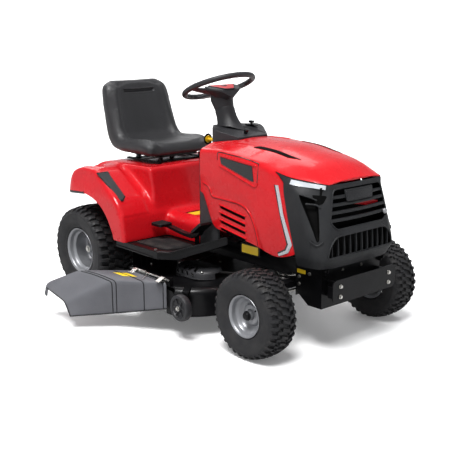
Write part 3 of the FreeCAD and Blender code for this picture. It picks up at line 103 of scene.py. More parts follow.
def material(name, colour, rough, metal=0.0, coat=0.0, coat_rough=0.05, grain=400.0, bump=0.05, vary=0.12,
             dust=0.0, cells=0.0, stretch=(1, 1, 1), specular=0.5, depth=0.0004, sheen=0.0):
    """A finish with drifting colour and roughness, a fine surface texture and patches of dust."""
    m = bpy.data.materials.new(name)
    m.use_nodes = True
    t = m.node_tree
    shader = t.nodes["Principled BSDF"]
    where = node(t, "ShaderNodeTexCoord")
    place = node(t, "ShaderNodeMapping")
    place.inputs["Scale"].default_value = stretch
    t.links.new(where.outputs["Object"], place.inputs["Vector"])

    def noise(scale, detail=3.0):
        n = node(t, "ShaderNodeTexNoise", Scale=scale, Detail=detail)
        t.links.new(place.outputs[0], n.inputs["Vector"])
        return n.outputs["Fac"]

    dark = tuple(c * (1 - vary) for c in colour)
    light = tuple(min(1.0, c * (1 + vary)) for c in colour)
    drift = noise(7.0)
    base = ramp(t, drift, [(0.3, dark), (0.7, light)])
    speck = mapped(t, noise(grain * 0.35, 2.0), 0.35, 0.7, 0.0, 0.35)
    base = mix(t, speck, base, tuple(min(1.0, c * (1 + 1.5 * vary)) for c in colour))
    if dust:
        up = node(t, "ShaderNodeSeparateXYZ")
        geometry = node(t, "ShaderNodeNewGeometry")
        t.links.new(geometry.outputs["Normal"], up.inputs[0])
        facing = mapped(t, up.outputs[2], -0.2, 1.0, 0.25, 1.0)
        patches = mapped(t, noise(22.0, 6.0), 0.42, 0.72, 0.0, dust)
        both = node(t, "ShaderNodeMath", operation="MULTIPLY")
        t.links.new(facing, both.inputs[0])
        t.links.new(patches, both.inputs[1])
        base = mix(t, both.outputs[0], base, DUST)
    t.links.new(base, shader.inputs["Base Color"])
    patchy = mapped(t, noise(16.0, 5.0), 0.3, 0.7, max(0.02, rough - ROUGH_DRIFT), rough + ROUGH_DRIFT)
    t.links.new(patchy, shader.inputs["Roughness"])
    for socket, value in (("Metallic", metal), ("Coat Weight", coat), ("Coat Roughness", coat_rough),
                          ("Specular IOR Level", specular), ("Sheen Weight", sheen)):
        shader.inputs[socket].default_value = value
    height = noise(grain, 4.0)
    if cells:
        v = node(t, "ShaderNodeTexVoronoi", Scale=cells)
        v.feature = "DISTANCE_TO_EDGE"
        t.links.new(place.outputs[0], v.inputs["Vector"])
        height = mapped(t, v.outputs["Distance"], 0.0, 0.12, 0.0, 1.0)
    b = node(t, "ShaderNodeBump", Strength=bump, Distance=depth)
    t.links.new(height, b.inputs["Height"])
    t.links.new(b.outputs[0], shader.inputs["Normal"])
    return m


RED = material("red_gloss", (0.60, 0.012, 0.019), 0.27, coat=0.35, coat_rough=0.04, grain=260, bump=0.03,
    vary=0.06, dust=0.015, specular=0.25)
RED_MOULD = material("red_moulding", (0.57, 0.012, 0.020), 0.28, coat=0.45, coat_rough=0.06, grain=320,
    bump=0.05, vary=0.07, dust=0.02, specular=0.25)
BLACK = material("black_enamel", (0.006, 0.006, 0.007), 0.36, coat=0.15, coat_rough=0.15, grain=300,
    bump=0.12, vary=0.3, dust=0.015, specular=0.25)
PLASTIC = material("grained_plastic", (0.022, 0.023, 0.025), 0.48, grain=900, bump=0.35, vary=0.15,
    cells=700, dust=0.03, specular=0.4)
DARKER = material("cowl_plastic", (0.034, 0.034, 0.037), 0.42, grain=900, bump=0.30, vary=0.2, cells=650,
    dust=0.03, specular=0.45)
CHUTE = material("chute_plastic", (0.124, 0.126, 0.138), 0.44, grain=800, bump=0.25, vary=0.10, cells=520,
    dust=0.03)
RUBBER = material("tyre_rubber", (0.026, 0.026, 0.028), 0.55, grain=500, bump=0.4, vary=0.25, dust=0.10,
    specular=0.4)
MAT = material("mat_rubber", (0.022, 0.022, 0.023), 0.62, grain=420, bump=0.45, vary=0.3, dust=0.12,
    specular=0.35)
BELT = material("belt_rubber", (0.02, 0.019, 0.018), 0.8, grain=700, bump=0.5, vary=0.25, cells=420)
SILVER = material("wheel_silver", (0.30, 0.305, 0.32), 0.36, metal=0.45, coat=0.25, coat_rough=0.2,
    grain=500, bump=0.08, vary=0.06, dust=0.05)
VINYL = material("seat_vinyl", (0.024, 0.024, 0.026), 0.40, grain=300, bump=0.45, vary=0.2, cells=420,
    depth=0.0005, sheen=0.08, specular=0.65)
STEEL = material("bare_steel", (0.42, 0.42, 0.43), 0.36, metal=1.0, grain=300, bump=0.15, vary=0.12,
    stretch=(1, 1, 6))
ZINC = material("zinc_plate", (0.62, 0.61, 0.58), 0.3, metal=1.0, grain=120, bump=0.12, vary=0.12,
    cells=160)
CAST = material("cast_metal", (0.12, 0.12, 0.125), 0.55, metal=0.7, grain=220, bump=0.6, vary=0.2, dust=0.1)
TRIM = material("silver_trim", (0.58, 0.59, 0.62), 0.30, metal=0.6, coat=0.4, grain=600, bump=0.04,
    vary=0.05)
LENS = material("lamp_lens", (0.62, 0.65, 0.68), 0.12, metal=0.15, coat=1.0, coat_rough=0.02, grain=90,
    bump=0.15, vary=0.06)
GLOSS = material("gloss_black", (0.004, 0.004, 0.005), 0.18, coat=0.6, coat_rough=0.05, grain=400,
    bump=0.03, vary=0.3, dust=0.02)
CHARCOAL = material("insert_grey", (0.042, 0.043, 0.046), 0.36, grain=800, bump=0.3, vary=0.12, cells=600,
    dust=0.03)
REDCAP = material("red_plastic", (0.52, 0.010, 0.016), 0.35, coat=0.4, grain=400, bump=0.08, vary=0.08)
YELLOW = material("yellow_plastic", (0.75, 0.47, 0.015), 0.42, coat=0.2, grain=420, bump=0.08, vary=0.08)
LABEL = material("blank_label", (0.85, 0.60, 0.03), 0.35, coat=0.3, grain=350, bump=0.05, vary=0.06,
    dust=0.05)
WINE = material("shadow_red", (0.10, 0.003, 0.005), 0.4, coat=0.2, grain=300, bump=0.05, vary=0.1)
# Painted shade: a near-black finish for sheets and patches that stand for the shade inside openings and
# recesses.
SHADE_BLACK = material("painted_shade_black", (0.003, 0.003, 0.003), 0.7, grain=300, bump=0.05, vary=0.3, specular=0.1)
PALE = material("blank_badge", (0.33, 0.335, 0.345), 0.3, metal=0.4, coat=0.5, grain=500, bump=0.05,
    vary=0.08)


# ------------------------------------------------------------------ mesh helpers (all lengths in millimetres)
def outward(mesh, weld=0.0):
    """Turns the faces outwards, after joining points that lie within weld of each other."""
    b = bmesh.new()
    b.from_mesh(mesh)
    if weld:
        bmesh.ops.remove_doubles(b, verts=b.verts, dist=weld)
    bmesh.ops.recalc_face_normals(b, faces=b.faces)
    b.to_mesh(mesh)
    b.free()


def solid(name, verts, faces):
    """A new object from points in millimetres."""
    mesh = bpy.data.meshes.new(name)
    mesh.from_pydata([tuple(c * MM for c in v) for v in verts], [], faces)
    outward(mesh, 1e-6)
    o = bpy.data.objects.new(name, mesh)
    scene.collection.objects.link(o)
    return o


def modifier(o, kind, **values):
    m = o.modifiers.new(kind.lower(), kind)
    for key, value in values.items():
        setattr(m, key, value)
    return m


def rolled(o, width, segments, angle):
    """Rounds the edges that are sharper than angle."""
    return modifier(o, "BEVEL", width=width * MM, segments=segments, limit_method="ANGLE",
        angle_limit=math.radians(angle))


def first(o, m):
    """Moves a modifier to the top of the stack."""
    bpy.context.view_layer.objects.active = o
    while o.modifiers[0] != m:
        bpy.ops.object.modifier_move_up(modifier=m.name)


def applied(o, kind, **values):
    """Adds a modifier at the top of the stack and applies it."""
    m = modifier(o, kind, **values)
    first(o, m)
    bpy.ops.object.modifier_apply(modifier=m.name)


def piece(name, verts, faces, mat, body, slot, bevel=0.0, segments=2, stand_for=(), angle=32):
    """A visible piece of one finish that rides on a body. When bevel is given, its edges are rolled by a
    bevel modifier.
    """
    o = solid(name, verts, faces)
    o.data.materials.append(mat)
    for p in o.data.polygons:
        p.use_smooth = True
    if bevel:
        rolled(o, bevel, segments, angle)
    modifier(o, "WEIGHTED_NORMAL", keep_sharp=True)
    sharpen(o, HARD_EDGE)
    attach(o, body)
    if stand_for:
        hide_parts(*stand_for)
    return o


def sharpen(o, degrees):
    """Marks the hard edges so that shading breaks there and stays smooth elsewhere."""
    b = bmesh.new()
    b.from_mesh(o.data)
    for e in b.edges:
        e.smooth = not (len(e.link_faces) == 2 and e.calc_face_angle(0) > math.radians(degrees))
    b.to_mesh(o.data)
    b.free()


def loft(rings, closed=True, capped=True, loop=False):
    """Faces between rings with the same number of points."""
    n = len(rings[0])
    verts = [tuple(p) for r in rings for p in r]
    faces = []
    rows = len(rings)
    for i in range(rows if loop else rows - 1):
        a, b = i * n, ((i + 1) % rows) * n
        for j in range(n if closed else n - 1):
            k = (j + 1) % n
            faces.append((a + j, a + k, b + k, b + j))
    if capped and not loop:
        faces.append(tuple(reversed(range(n))))
        faces.append(tuple(range((rows - 1) * n, rows * n)))
    return verts, faces


def joined(*parts):
    """Several (verts, faces) as one."""
    verts, faces = [], []
    for v, f in parts:
        base = len(verts)
        verts += list(v)
        faces += [tuple(i + base for i in face) for face in f]
    return verts, faces


def prism(points, plane, a, b):
    """A polygon in a plane ("xz", "xy" or "yz"), extruded from a to b along the third axis."""
    at = {"xz": lambda p, d: (p[0], d, p[1]), "xy": lambda p, d: (p[0], p[1], d), "yz": lambda p,
        d: (d, p[0], p[1])}[plane]
    return loft([[at(p, a) for p in points], [at(p, b) for p in points]])


def block(x0, x1, y0, y1, z0, z1):
    return prism([(x0, y0), (x1, y0), (x1, y1), (x0, y1)], "xy", z0, z1)


def fillet(points, radius, steps=4, closed=True):
    """The polygon with its corners rounded. radius is one number, or one per corner."""
    out = []
    n = len(points)
    for i, p in enumerate(points):
        r = radius[i] if isinstance(radius, (list, tuple)) else radius
        p = Vector(p)
        if r == 0 or (not closed and i in (0, n - 1)):
            out.append(tuple(p))
            continue
        a, b = Vector(points[i - 1]) - p, Vector(points[(i + 1) % n]) - p
        cut = min(r, 0.48 * a.length, 0.48 * b.length)
        a, b = p + a.normalized() * cut, p + b.normalized() * cut
        for k in range(steps + 1):
            t = k / steps
            out.append(tuple(a * (1 - t) ** 2 + p * 2 * t * (1 - t) + b * t * t))
    return out


def basis(direction):
    """A unit vector along the direction and two across it."""
    d = Vector(direction).normalized()
    side = d.cross(Vector(UP) if abs(d.z) < 0.9 else Vector((1, 0, 0))).normalized()
    return d, side, d.cross(side)


def lathe(profile, centre, axis, count=96, closed=True):
    """Profile points are (radius, distance along the axis)."""
    d, u, v = basis(axis)
    c = Vector(centre)
    rings = []
    for i in range(count):
        a = 2 * math.pi * i / count
        out = u * math.cos(a) + v * math.sin(a)
        rings.append([tuple(c + out * r + d * h) for r, h in profile])
    return loft(rings, closed=closed, capped=False, loop=True)


def rod(a, b, radius, count=24):
    """A round bar from a to b, with chamfered ends."""
    a, b = Vector(a), Vector(b)
    length = (b - a).length
    e = radius * 0.12
    return lathe([(0.01, 0), (radius - e, 0), (radius, e), (radius, length - e), (radius - e, length),
        (0.01, length)], a, b - a, count, closed=False)


def smooth_path(points, per=8):
    """Catmull-Rom points through the given ones."""
    pts = [Vector(p) for p in points]
    pts = [pts[0] * 2 - pts[1]] + pts + [pts[-1] * 2 - pts[-2]]
    out = []
    for i in range(1, len(pts) - 2):
        a, b, c, d = pts[i - 1:i + 3]
        for k in range(per):
            t = k / per
            out.append(0.5 * (2 * b + (c - a) * t + (2 * a - 5 * b + 4 * c - d) * t * t
                + (3 * b - a - 3 * c + d) * t ** 3))
    return out + [pts[-2]]


def oval(a, b, count):
    """Points round an oval with half axes a and b."""
    return [(a * math.cos(math.tau * k / count), b * math.sin(math.tau * k / count)) for k in range(count)]


def sweep(path, section, closed=False):
    """A section of (side, up) offsets carried along the path. section may be a radius."""
    if isinstance(section, (int, float)):
        section = oval(section, section, 16)
    pts = [Vector(p) for p in path]
    rings = []
    n = len(pts)
    side = None
    for i, p in enumerate(pts):
        if closed:
            d = (pts[(i + 1) % n] - pts[i - 1]).normalized()
        else:
            d = (pts[min(i + 1, n - 1)] - pts[max(i - 1, 0)]).normalized()
        if side is None:
            _, side, _ = basis(d)
        side = (side - d * side.dot(d)).normalized()
        up = side.cross(d)
        rings.append([tuple(p + side * s + up * t) for s, t in section])
    return loft(rings, capped=not closed, loop=closed)


def coil(a, b, radius, wire, turns, count=14):
    """A helical spring from a to b."""
    a, b = Vector(a), Vector(b)
    d, u, v = basis(b - a)
    steps = int(turns * count)
    path = [a + (b - a) * (i / steps) + (u * math.cos(math.tau * i / count) + v
        * math.sin(math.tau * i / count)) * radius for i in range(steps + 1)]
    return sweep(path, oval(wire, wire, 8))


def hex_bolt(at, axis, size=8.0, head=5.0):
    """A hexagon head with a chamfered top on a round washer."""
    d, u, v = basis(axis)
    at = Vector(at)
    rings = []
    for r, h in ((size, 1.6), (size, 1.6 + head * 0.75), (size * 0.86, 1.6 + head),
        (size * 0.3, 1.6 + head)):
        rings.append([tuple(at + d * h + (u * math.cos(math.tau * i / 6) + v * math.sin(math.tau * i / 6))
            * r) for i in range(6)])
    bolt = loft(rings)
    ring = lathe([(0.01, -0.5), (size * 1.35, -0.5), (size * 1.35, 1.2), (size * 1.25, 1.7), (0.01, 1.7)],
        at, axis, 28, closed=False)
    return joined(ring, bolt)


def boolean(o, cutter, operation="DIFFERENCE"):
    """Applies a cutter, given as (verts, faces), to o's mesh."""
    c = solid("cutter", *cutter)
    applied(o, "BOOLEAN", operation=operation, object=c, solver="EXACT")
    bpy.data.objects.remove(c)
    for p in o.data.polygons:
        p.use_smooth = True
    sharpen(o, HARD_EDGE)


def draped(name, outline, surface, lift, thick, mat, body, slot, spacing=12.0, bevel=0.6):
    """A thin plate cut to an outline in surface coordinates (u, v) and laid on the surface."""
    b = bmesh.new()
    b.faces.new([b.verts.new((u, v, 0)) for u, v in outline])
    us, vs = [p[0] for p in outline], [p[1] for p in outline]
    for axis, low, high in ((0, min(us), max(us)), (1, min(vs), max(vs))):
        n = max(2, int((high - low) / spacing))
        for i in range(1, n):
            at = [0, 0, 0]
            at[axis] = low + (high - low) * i / n
            normal = [0, 0, 0]
            normal[axis] = 1
            bmesh.ops.bisect_plane(b, geom=b.verts[:] + b.edges[:] + b.faces[:], plane_co=at,
                plane_no=normal, dist=1e-4)
    b.verts.ensure_lookup_table()
    b.verts.index_update()
    flat = [(v.co.x, v.co.y) for v in b.verts]
    quads = [tuple(v.index for v in f.verts) for f in b.faces]
    rim = [tuple(v.index for v in e.verts) for e in b.edges if len(e.link_faces) == 1]
    b.free()
    low = [surface(u, v, lift) for u, v in flat]
    high = [surface(u, v, lift + thick) for u, v in flat]
    n = len(flat)
    faces = [tuple(i + n for i in q) for q in quads] + [tuple(reversed(q)) for q in quads]
    faces += [(i, j, j + n, i + n) for i, j in rim]
    return piece(name, low + high, faces, mat, body, slot, bevel=bevel)


def flip(verts_faces):
    """The mirror image over the centre plane."""
    return [(x, -y, z) for x, y, z in verts_faces[0]], [tuple(reversed(f)) for f in verts_faces[1]]


def pair(verts_faces):
    """The shape and its mirror image."""
    return joined(verts_faces, flip(verts_faces))


def dress(name, mat, bevel=0.0):
    """Gives a CAD node its finish, and rolls its sharp edges with modifiers."""
    o = NODES[name]
    o.data.materials.clear()
    o.data.materials.append(mat)
    modifier(o, "WELD", merge_threshold=0.00002)
    if bevel:
        rolled(o, bevel, 2, 35)
    modifier(o, "WEIGHTED_NORMAL", keep_sharp=False)


def lerp(a, b, t):
    return a + (b - a) * t


def smoothstep(a, b, x):
    t = min(1.0, max(0.0, (x - a) / (b - a)))
    return t * t * (3 - 2 * t)


def spline_rows(keys, rows, at):
    """Catmull-Rom interpolation of rows of numbers at a key value."""
    i = max(0, min(len(keys) - 2, next((k for k in range(len(keys) - 1) if at <= keys[k + 1]),
        len(keys) - 2)))
    k0, k1 = keys[i], keys[i + 1]
    t = (at - k0) / (k1 - k0)
    p0, p1, p2, p3 = rows[max(i - 1, 0)], rows[i], rows[i + 1], rows[min(i + 2, len(rows) - 1)]
    h0 = (k1 - k0) / max(1e-6, (k1 - keys[max(i - 1, 0)])) if i > 0 else 1
    h1 = (k1 - k0) / max(1e-6, (keys[min(i + 2, len(rows) - 1)] - k0)) if i + 2 < len(rows) else 1
    out = []
    for a, b, c, d in zip(p0, p1, p2, p3):
        m1 = (c - a) * h0 if i > 0 else (c - b)
        m2 = (d - b) * h1 if i + 2 < len(rows) else (c - b)
        out.append((2 * t ** 3 - 3 * t * t + 1) * b + (t ** 3 - 2 * t * t + t) * m1
            + (-2 * t ** 3 + 3 * t * t) * c + (t ** 3 - t * t) * m2)
    return out


# ------------------------------------------------------------------ wheels
def node_frame(name):
    """Centre, radius and half width of a wheel part, in millimetres, from its CAD box."""
    low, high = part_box(name)
    centre = (low + high) / 2 / MM
    return centre, (high.x - low.x) / 2 / MM, (high.y - low.y) / 2 / MM


def tread_radius(radius, half, y):
    """The crowned profile of the tread at y."""
    return radius - 0.05 * radius * (abs(y) / (0.86 * half)) ** 2.2


def lug(centre, radius, half, edges, v0, v1, turn, deep, rows=4):
    """A tread block. edges(v) gives its two sides in degrees.

    v runs over the tread from -1 to 1, and past the shoulder to 1.2.
    """
    shoulder = 0.86 * half
    verts, faces = [], []
    for i in range(rows + 1):
        v = lerp(v0, v1, i / rows)
        a, b = edges(v)
        y = max(-1, min(1, v)) * shoulder
        r = tread_radius(radius, half, y)
        over = max(0.0, abs(v) - 1)
        y += math.copysign(over * half * 0.50, v) if over else 0
        r -= over * radius * 0.30
        inset = (b - a) * 0.10
        for angle, rr in ((a, r - deep), (a + inset, r), (b - inset, r), (b, r - deep)):
            t = math.radians(angle) + turn
            verts.append((centre.x + rr * math.sin(t), centre.y + y, centre.z + rr * math.cos(t)))
    for i in range(rows):
        for k in range(3):
            j = 4 * i + k
            faces.append((j, j + 1, j + 5, j + 4))
    faces += [(3, 2, 1, 0), tuple(4 * rows + k for k in range(4))]
    return verts, faces


def make_tyre(name, body, pitches, deep):
    """A hollow tyre with bead, side wall and crown, and a ring of tread blocks."""
    centre, radius, half = node_frame(name)
    base = radius - deep
    bead = radius * (0.485 if half < 90 else 0.51)
    side = []
    for r, y in ((bead, 0.78), (bead + 5, 0.86), (bead + 11, 0.89), (bead + 14, 0.885), (bead + 20, 0.925),
        (bead + 34, 0.975),
                 (0.5 * (bead + radius), 0.995), (base - 30, 0.985), (base - 27, 0.998), (base - 23, 0.985),
                 (base - 17, 0.955), (base * 0.951, 0.885)):
        side.append((r, y * half))
    crown = []
    for i in range(9):
        y = lerp(0.86, -0.86, i / 8) * half
        crown.append((tread_radius(radius, half, y) - deep, y))
    outer = side + crown + [(r, -y) for r, y in reversed(side)]
    inner = [(bead - 1, -0.72 * half), (bead + 6, -0.74 * half), (0.5 * (bead + radius), -0.88 * half),
        (0.88 * radius, -0.78 * half),
             (0.92 * radius, 0), (0.88 * radius, 0.78 * half), (0.5 * (bead + radius), 0.88 * half),
             (bead + 6, 0.74 * half), (bead - 1, 0.72 * half)]
    parts = [lathe(outer + inner, centre, (0, 1, 0), 144)]
    step = 360 / pitches
    for i in range(pitches):
        turn = math.radians(i * step)
        off = 0.5 * math.radians(step)
        wave = lambda v: 0.17 * step * math.sin(v * 5.2)
        parts.append(lug(centre, radius, half, lambda v: (wave(v) + 0.02 * step, wave(v) + 0.44 * step),
            -0.30, 0.30, turn, deep, 6))
        for s in (-1, 1):
            cross = lambda v, s=s: (0.10 * step + 0.10 * step * math.sin(6 * abs(v)),
                0.10 * step + 0.10 * step * math.sin(6 * abs(v)) + 0.40 * step)
            parts.append(lug(centre, radius, half, cross, s * 0.34, s * 0.66,
                turn + off * (1.0 if s > 0 else 0.2), deep, 4))
            bar = lambda v: (0.06 * step, (0.60 if abs(v) < 0.86 else 0.50) * step)
            parts.append(lug(centre, radius, half, bar, s * 0.70, s * 1.20,
                turn + off * (0.2 if s > 0 else 1.0), deep, 5))
            tie = lambda v: (0.30 * step, 0.46 * step)
            parts.append(lug(centre, radius, half, tie, s * 0.62, s * 0.74, turn + off * 0.6, deep * 0.8,
                2))
    return piece(name + "_tread", *joined(*parts), RUBBER, body, "tyre_rubber", stand_for=(name,))


def make_rim(name, body, tyre, side, shaft=None):
    """A pressed rim with its dish, hub, valve and cap or axle end. side is 1 on the left."""
    centre, radius, half = node_frame(tyre)
    low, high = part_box(name)
    flange = (high.z - low.z) / 2 / MM
    front = half < 90
    bead = flange - (6 if front else 7)
    rim_half = 62 if front else 90
    drop = bead - 16
    s = side
    out = [(bead - 2, rim_half - 3), (flange - 1.5, rim_half - 1.5), (flange, rim_half + 0.5),
        (flange - 1.2, rim_half + 2.2), (flange - 4, rim_half + 1.5),
           (bead - 3, rim_half - 3.5), (bead - 5.5, rim_half - 9), (bead - 6, rim_half - 22),
           (bead - 10, rim_half - 27), (drop - 2, rim_half - 35)]
    dish = ((drop - 4, 26), (drop - 9, 18), (drop - 16, 14), (0.72 * drop, 12), (0.66 * drop, 15),
        (0.6 * drop, 22), (0.5 * drop, 24), (24, 24), (21, 21)) if front else \
           ((drop - 3, 34), (drop - 8, 6), (drop - 16, -4), (0.80 * drop, -7), (0.74 * drop, -4),
               (0.66 * drop, 4), (0.55 * drop, 7), (0.42 * drop, 7), (0.38 * drop, 3), (26, 3), (23, 5))
    face = out + [(r, y) for r, y in dish]
    hub = [(18, 44), (16, 46)] if front else [(21, 38), (19, 40)]
    profile = [(r, y * s) for r, y in face] + [(r, y * s) for r, y in hub] + [(12.6, hub[-1][1] * s)]
    back = [(12.6, -40 * s), (20, -40 * s), (20, (dish[-1][1] - 4) * s)] + [(r - 1.5, (y - 3) * s) for r,
        y in reversed(dish)]
    back += [(drop - 5, (rim_half - 38) * s), (drop - 5, -(rim_half - 36) * s),
        (bead - 8, -(rim_half - 24) * s), (bead - 5, -(rim_half - 4) * s),
        (flange - 2, -(rim_half - 3) * s),
             (flange, -(rim_half) * s), (flange - 1, -(rim_half + 1) * s), (bead - 2, -(rim_half - 2) * s),
             (bead - 3, -(rim_half - 22) * s), (drop, -(rim_half - 36) * s), (drop, (rim_half - 36) * s),
             (bead - 3, (rim_half - 22) * s)]
    parts = [lathe(profile + back, centre, (0, 1, 0), 128)]
    if shaft:
        inner, outer = shaft
        parts.append(rod((centre.x, s * inner, centre.z), (centre.x, s * outer, centre.z), 12.5))
    piece(name + "_pressed", *joined(*parts), SILVER, body, "rim_paint", stand_for=(name,))
    axis = Vector((0, s, 0))
    if front:
        cap = [(0.01, 57), (9, 56.6), (15, 55), (17.5, 51.5), (18.2, 47), (20.5, 46), (21.5, 44.5),
            (21, 42), (0.01, 42)]
        piece(name + "_cap", *lathe([(r, h) for r, h in cap], centre, axis, 48, closed=False), BLACK, body,
            "black_paint")
    else:
        end = [(0.01, 50), (9, 50), (11.5, 48.5), (12, 44), (13, 43.5), (17, 43.5), (18, 42.5), (18, 40.5),
            (0.01, 40)]
        piece(name + "_axle_end", *lathe(end, centre, axis, 40, closed=False), ZINC, body, "zinc")
        ring = joined(*[hex_bolt(centre + Vector((43 * math.cos(a), s * 3.5, 43 * math.sin(a))), axis, 7.5,
            6) for a in [math.tau * k / 5 for k in range(5)]])
        piece(name + "_bolts", *ring, ZINC, body, "zinc")
    a = math.radians(35 if front else 118)
    foot = centre + Vector(((drop - 12) * math.cos(a), s * (16 if front else 2), (drop - 12) * math.sin(a)))
    tip = foot + Vector((-14 * math.cos(a), s * 20, -14 * math.sin(a)))
    valve = joined(rod(foot, foot + (tip - foot) * 0.55, 4.6, 16),
        rod(foot + (tip - foot) * 0.5, tip, 3.2, 16))
    piece(name + "_valve", *valve, GLOSS, body, "black_paint")


for side, word, letter in ((-1, "right", "r"), (1, "left", "l")):
    make_tyre(f"front_tyre_{word}", f"front_wheel_{letter}", 34, 9.5)
    make_tyre(f"rear_tyre_{word}", f"rear_wheel_{letter}", 34, 12.0)
    make_rim(f"front_rim_{word}", f"front_wheel_{letter}", f"front_tyre_{word}", side)
    make_rim(f"rear_rim_{word}", f"rear_wheel_{letter}", f"rear_tyre_{word}", side, shaft=(237, 410))


# ------------------------------------------------------------------ hood
HOOD = [
    (85, [(232, 380), (241, 600), (240, 808), (150, 838), (0, 848)]),
    (220, [(241, 380), (252, 600), (250, 818), (150, 844), (0, 854)]),
    (340, [(246, 380), (258, 600), (252, 808), (150, 841), (0, 853)]),
    (475, [(248, 380), (260, 600), (250, 794), (150, 833), (0, 846)]),
    (560, [(248, 380), (258, 600), (248, 770), (150, 819), (0, 833)]),
    (650, [(247, 380), (255, 600), (234, 753), (148, 804), (0, 818)]),
    (735, [(235, 380), (240, 600), (204, 743), (140, 781), (0, 795)]),
    (812, [(215, 380), (215, 600), (172, 734), (120, 739), (0, 744)]),
]
HOOD_SIDE = [(80, 615), (108, 605), (130, 560), (178, 458), (450, 431), (600, 396), (700, 431),
             (622, 728), (572, 769), (646, 751), (811, 732), (811, 900), (80, 900)]
PANEL_LINE = [(40, 678), (80, 672), (186, 657), (285, 636), (386, 617), (424, 600), (448, 572), (467, 526),
    (494, 456), (520, 395)]


def panel_step(x, z):
    """How far the louvre panel lies behind the body side: 0 above its edge line, 1 well inside."""
    best = 1e9
    inside = False
    for (x0, z0), (x1, z1) in zip(PANEL_LINE, PANEL_LINE[1:]):
        d = Vector((x1 - x0, z1 - z0))
        t = max(0.0, min(1.0, ((x - x0) * d.x + (z - z0) * d.y) / d.length_squared))
        near = Vector((x - x0 - d.x * t, z - z0 - d.y * t))
        if near.length < best:
            best = near.length
            inside = d.x * (z - z0) - d.y * (x - x0) < 0
    return smoothstep(-9, 9, best if inside else -best)


def row_at(table, at):
    """The coordinates of a table's row of points at a key value, in one list."""
    return spline_rows([key for key, _ in table], [[c for p in row for c in p] for _, row in table], at)


def curve(a, b, c, count):
    """Points from a to c, drawn towards b."""
    steps = (k / count for k in range(1, count + 1))
    return [a * (1 - t) ** 2 + b * 2 * t * (1 - t) + c * t * t for t in steps]


def eased(pts, cuts, counts, arc, pull, last):
    """Points along a five-point line.

    Its three inner corners are rounded, and pull draws its last stretch out towards the centre line.
    """
    out = [pts[0]]
    here = pts[0]
    for i, cut, n in zip((1, 2, 3), cuts, counts):
        a = pts[i] + (pts[i - 1] - pts[i]).normalized() * cut
        b = pts[i] + (pts[i + 1] - pts[i]).normalized() * cut
        out += [here.lerp(a, k / n) for k in range(1, n + 1)] + curve(a, pts[i], b, arc)
        here = b
    end = pts[4]
    return out + curve(here, Vector((end.x + pull[0], end.y + pull[1])), end, last)


def half_ring(x, inset):
    """The hood's half section at x, from its lower edge up over the side to the centre line."""
    flat = row_at(HOOD, x)
    pts = [Vector((flat[2 * i] - (inset if i < 4 else 0), flat[2 * i + 1] - (inset if i > 1 else 0)))
        for i in range(5)]
    return eased(pts, (90, 20, 34), (26, 30, 12), 6, (55, 0), 16)


def hood_ring(x, inset):
    half = []
    for y, z in half_ring(x, inset):
        if z < 720:
            y -= 3.2 * panel_step(x, z)
        half.append((y, z))
    return [(x, -y, z) for y, z in half] + [(x, y, z) for y, z in reversed(half[:-1])]


def on_side(u, v, lift, side=-1):
    """The point on the hood's flank at x = u and z = v, lifted outwards."""
    pts = hood_cache.setdefault(round(u, 1), [(p[1], p[2]) for p in hood_ring(round(u, 1), 0)])
    for (y0, z0), (y1, z1) in zip(pts, pts[1:]):
        if z0 <= v <= z1 or (z1 >= 805 and y0 < -200):
            t = (v - z0) / max(1e-6, z1 - z0)
            y = y0 + (y1 - y0) * max(0.0, min(1.0, t))
            break
    return (u, side * (abs(y) + lift), v)


def on_top(u, v, lift):
    """The point on the top of the hood at x = u and y = v, lifted upwards."""
    pts = hood_cache.setdefault(round(u, 1), [(p[1], p[2]) for p in hood_ring(round(u, 1), 0)])
    best = [(y, z) for y, z in pts if z > 700]
    for (y0, z0), (y1, z1) in zip(best, best[1:]):
        if y0 <= v <= y1:
            return (u, v, z0 + (z1 - z0) * (v - y0) / max(1e-6, y1 - y0) + lift)
    return (u, v, best[0][1] + lift)


hood_cache = {}


def nose_row(z, inset=0.0):
    """The nose's half outline at height z, from its side edge round the cheek to the centre line."""
    flat = row_at(NOSE, z)
    pts = [Vector((flat[2 * i] - (inset if i > 1 else 0), flat[2 * i + 1] - (inset if i < 4 else 0)))
        for i in range(5)]
    return eased(pts, (26, 14, 12), (16, 8, 5), 5, (0, 70), 18)


NOSE = [
    (388, [(640, 240), (775, 240), (822, 216), (840, 165), (846, 0)]),
    (433, [(640, 248), (800, 250), (840, 226), (853, 196), (862, 0)]),
    (510, [(620, 253), (796, 254), (832, 216), (849, 188), (858, 0)]),
    (580, [(610, 255), (765, 256), (815, 206), (839, 176), (849, 0)]),
    (640, [(600, 255), (738, 256), (795, 202), (829, 172), (839, 0)]),
    (700, [(590, 252), (708, 252), (768, 197), (818, 164), (829, 0)]),
    (744, [(570, 246), (662, 230), (735, 202), (808, 168), (818, 0)]),
]
NOSE_SIDE = [(705, 386), (900, 386), (900, 732), (811, 730), (646, 749), (576, 766), (627, 728), (705, 431)]


def nose_ring(z, inset):
    half = [(p.x, p.y) for p in nose_row(z, inset)]
    return [(x, -y, z) for x, y in half] + [(x, y, z) for x, y in reversed(half[:-1])]


def on_nose(u, v, lift):
    """The point on the front of the nose at y = u and z = v, lifted forwards."""
    half = nose_cache.setdefault(round(v, 1), [(p.x, p.y) for p in nose_row(round(v, 1))])
    for (x0, y0), (x1, y1) in zip(half[22:], half[23:]):
        if y1 <= abs(u) <= y0:
            return (x0 + (x1 - x0) * (abs(u) - y0) / min(-1e-6, y1 - y0) + lift, u, v)
    return (half[-1][0] + lift, u, v)


nose_cache = {}


